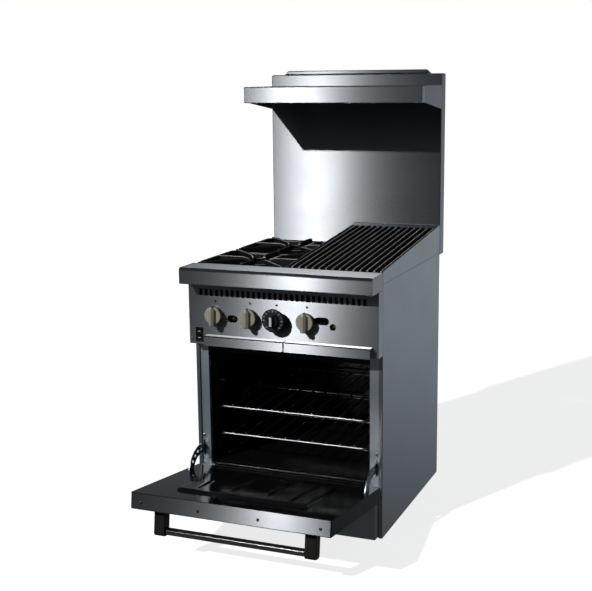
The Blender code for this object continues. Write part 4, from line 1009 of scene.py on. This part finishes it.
# ---- small hardware
def screw(spot, facing, radius=0.0045, height=0.0022):
    """A domed head with a cross recess: the height dips near the centre where sin 2a is near 0."""
    facing = Vector(facing).normalized()
    r = np.array([1.0, 1.0, 0.96, 0.82, 0.6, 0.42, 0.26, 0.0]) * radius
    a = np.arange(24) / 24 * TAU
    h = height * np.array([-0.5, 0.18, 0.42, 0.68, 0.88, 0.96, 1.0, 1.0])
    arm = np.exp(-(np.sin(2 * a) / 0.45) ** 2)[None, :]
    hollow = np.array([0, 0, 0, 0, 0.0, 0.55, 0.85, 0.9])[:, None] * height * arm
    flat = np.stack([r[:, None] * np.cos(a), r[:, None] * np.sin(a)], -1)
    grid = placed(flat, h[:, None] - hollow, 2)
    turn = Matrix.Translation(Vector(spot)) @ facing.to_track_quat("Z", "Y").to_matrix().to_4x4()
    return moved(skin(grid), turn)


def hardware():
    """Screws, the dots over the knobs and the tabs at the mouth's ends."""
    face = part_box("control_panel")[0].y
    spots = [(x, face, z) for x in (-0.2950, 0.2950) for z in (0.5830, 0.7450)]
    spots.append((0.041, face, 0.742))
    piece("panel_screws", [screw(s, (0, -1, 0), 0.0038, 0.0018) for s in spots], "body", screw_coat)
    dot = [(0.0, -0.0007), (0.0030, -0.0007), (0.0034, -0.0003), (0.0034, 0.0004), (0.0, 0.0004)]
    dots = [turned(dot, (x, face, 0.703), 1, 16) for x in KNOB_XS]
    piece("index_dots", dots, "body", broil_iron)
    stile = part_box("oven_front_frame")[0].y
    pair = [screw((s * 0.2855, stile, 0.2600), (0, -1, 0), 0.0050, 0.0026) for s in (-1, 1)]
    piece("stile_screws", pair, "body", screw_coat)
    tabs = [rectangle(s * 0.256 - 0.006, s * 0.256 + 0.006, 0.163, 0.176, 0.001, 2) for s in (-1, 1)]
    tabs = [plate(tab, 1, stile - 0.0035, stile, 0.0006) for tab in tabs]
    piece("mouth_tabs", tabs, "body", screw_coat)
    rim_xs = (-0.2715, -0.0905, 0.0905, 0.2715)
    rim = [hung(screw((x, -0.0074, 0.4104), (0, 0, 1), 0.0046, 0.0018)) for x in rim_xs]
    piece("door_edge_screws", rim, "door", dark_screw)
    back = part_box("back_panel")[1].y
    rear = [screw((x, back, z), (0, 1, 0)) for x in (-0.288, 0.0, 0.288) for z in (0.030, 0.390, 0.735)]
    piece("back_screws", rear, "body", screw_coat)


def paint_node(node, paint):
    """A finish on a node that keeps its own solid."""
    data = frame["nodes"][node].data
    data.materials.clear()
    data.materials.append(paint.material)


def inside_parts():
    """Brass on the valves, zinc on the pipes."""
    valves = ("burner_valve_front", "burner_valve_rear", "broiler_valve")
    for node in (*valves, "pilot_valve_left", "pilot_valve_right"):
        paint_node(node, brass_coat)
    for node in ("gas_manifold", "gas_inlet_pipe", "thermostat_body"):
        paint_node(node, zinc)


cabinet()
mouth()
oven()
door()
controls()
knobs()
switch()
cooktop()
broiler()
riser()
hardware()
inside_parts()


# ---- stage, light and camera
TO_LIGHT = (-0.364, -0.757, 0.543)


def stage():
    """A pale matt floor that the pieces don't mirror."""
    mesh = bpy.data.meshes.new("studio_floor")
    mesh.from_pydata([(-40, -40, 0), (40, -40, 0), (40, 40, 0), (-40, 40, 0)], [], [(0, 1, 2, 3)])
    floor = bpy.data.objects.new("studio_floor", mesh)
    bpy.context.scene.collection.objects.link(floor)
    pale = bpy.data.materials.new("pale_floor")
    pale.use_nodes = True
    shader = pale.node_tree.nodes["Principled BSDF"]
    shader.inputs["Base Color"].default_value = (0.86, 0.86, 0.87, 1.0)
    shader.inputs["Roughness"].default_value = 0.9
    shader.inputs["Specular IOR Level"].default_value = 0.1
    shader.inputs["Emission Color"].default_value = (1.0, 1.0, 1.0, 1.0)
    shader.inputs["Emission Strength"].default_value = 0.80
    mesh.materials.append(pale)
    floor.visible_glossy = False
    floor.visible_diffuse = False


def sun(name, angle, strength, receivers):
    """A distant lamp at the upper left front that lights the objects of one collection."""
    data = bpy.data.lights.new(name, "SUN")
    data.angle = math.radians(angle)
    data.energy = strength
    obj = bpy.data.objects.new(name, data)
    bpy.context.scene.collection.objects.link(obj)
    obj.rotation_mode = "QUATERNION"
    obj.rotation_quaternion = Vector(TO_LIGHT).to_track_quat("Z", "Y")
    obj.light_linking.receiver_collection = receivers


def light():
    """A room dim in front and brighter low behind the range, white to the camera, and a sun for each group."""
    world = bpy.data.worlds.new("studio")
    bpy.context.scene.world = world
    world.use_nodes = True
    tree = world.node_tree

    def node(kind, **inputs):
        made = tree.nodes.new(kind)
        for key, value in inputs.items():
            socket = made.inputs[int(key[1:])]
            if hasattr(value, "links"):
                tree.links.new(value, socket)
            else:
                socket.default_value = value
        return made

    way = node("ShaderNodeSeparateXYZ", i0=node("ShaderNodeTexCoord").outputs["Generated"])
    back = node("ShaderNodeMapRange", i0=way.outputs[1], i1=0.2, i2=0.8)
    lift = node("ShaderNodeMapRange", i0=way.outputs[2], i1=-0.40, i2=-0.20)
    fade = node("ShaderNodeMapRange", i0=way.outputs[2], i1=0.15, i2=-0.05, i3=0.25, i4=1.0)
    low = node("ShaderNodeMath", i0=back.outputs[0], i1=lift.outputs[0])
    low.operation = "MULTIPLY"
    glow = node("ShaderNodeMath", i0=low.outputs[0], i1=fade.outputs[0])
    glow.operation = "MULTIPLY"
    power = node("ShaderNodeMapRange", i0=glow.outputs[0], i1=0.0, i2=1.0, i3=0.042, i4=0.42)
    room = node("ShaderNodeBackground", i0=(0.86, 0.94, 1.0, 1.0), i1=power.outputs[0])
    seen = node("ShaderNodeBackground", i0=(1.0, 1.0, 1.0, 1.0), i1=1.0)
    path = node("ShaderNodeLightPath")
    pick = node("ShaderNodeMixShader", i0=path.outputs["Is Camera Ray"], i1=room.outputs[0], i2=seen.outputs[0])
    tree.links.new(pick.outputs[0], tree.nodes["World Output"].inputs[0])
    groups = {}
    for name, wanted in (("brushed_pieces", True), ("other_pieces", False)):
        groups[wanted] = bpy.data.collections.new(name)
        for obj in list(bpy.context.scene.objects):
            if obj.type == "MESH" and (obj.name in BRUSHED) == wanted:
                groups[wanted].objects.link(obj)
    sun("key_sun_on_sheet", 1.2, 0.088, groups[True])
    sun("key_sun", 1.6, 1.7, groups[False])


def camera():
    """In front of the range, a little to its right and above it."""
    data = bpy.data.cameras.new("camera")
    data.sensor_width = 36.0
    data.lens = 68.32
    data.clip_end = 200.0
    obj = bpy.data.objects.new("camera", data)
    bpy.context.scene.collection.objects.link(obj)
    azimuth, tilt, roll = (math.radians(a) for a in (22.14, 79.07, -0.64))
    turn = Matrix.Rotation(azimuth, 4, "Z") @ Matrix.Rotation(tilt, 4, "X") @ Matrix.Rotation(roll, 4, "Z")
    obj.matrix_world = Matrix.Translation((1.27053, -3.35419, 1.36237)) @ turn
    bpy.context.scene.camera = obj


stage()
light()
camera()
bpy.context.scene.view_settings.view_transform = "Standard"
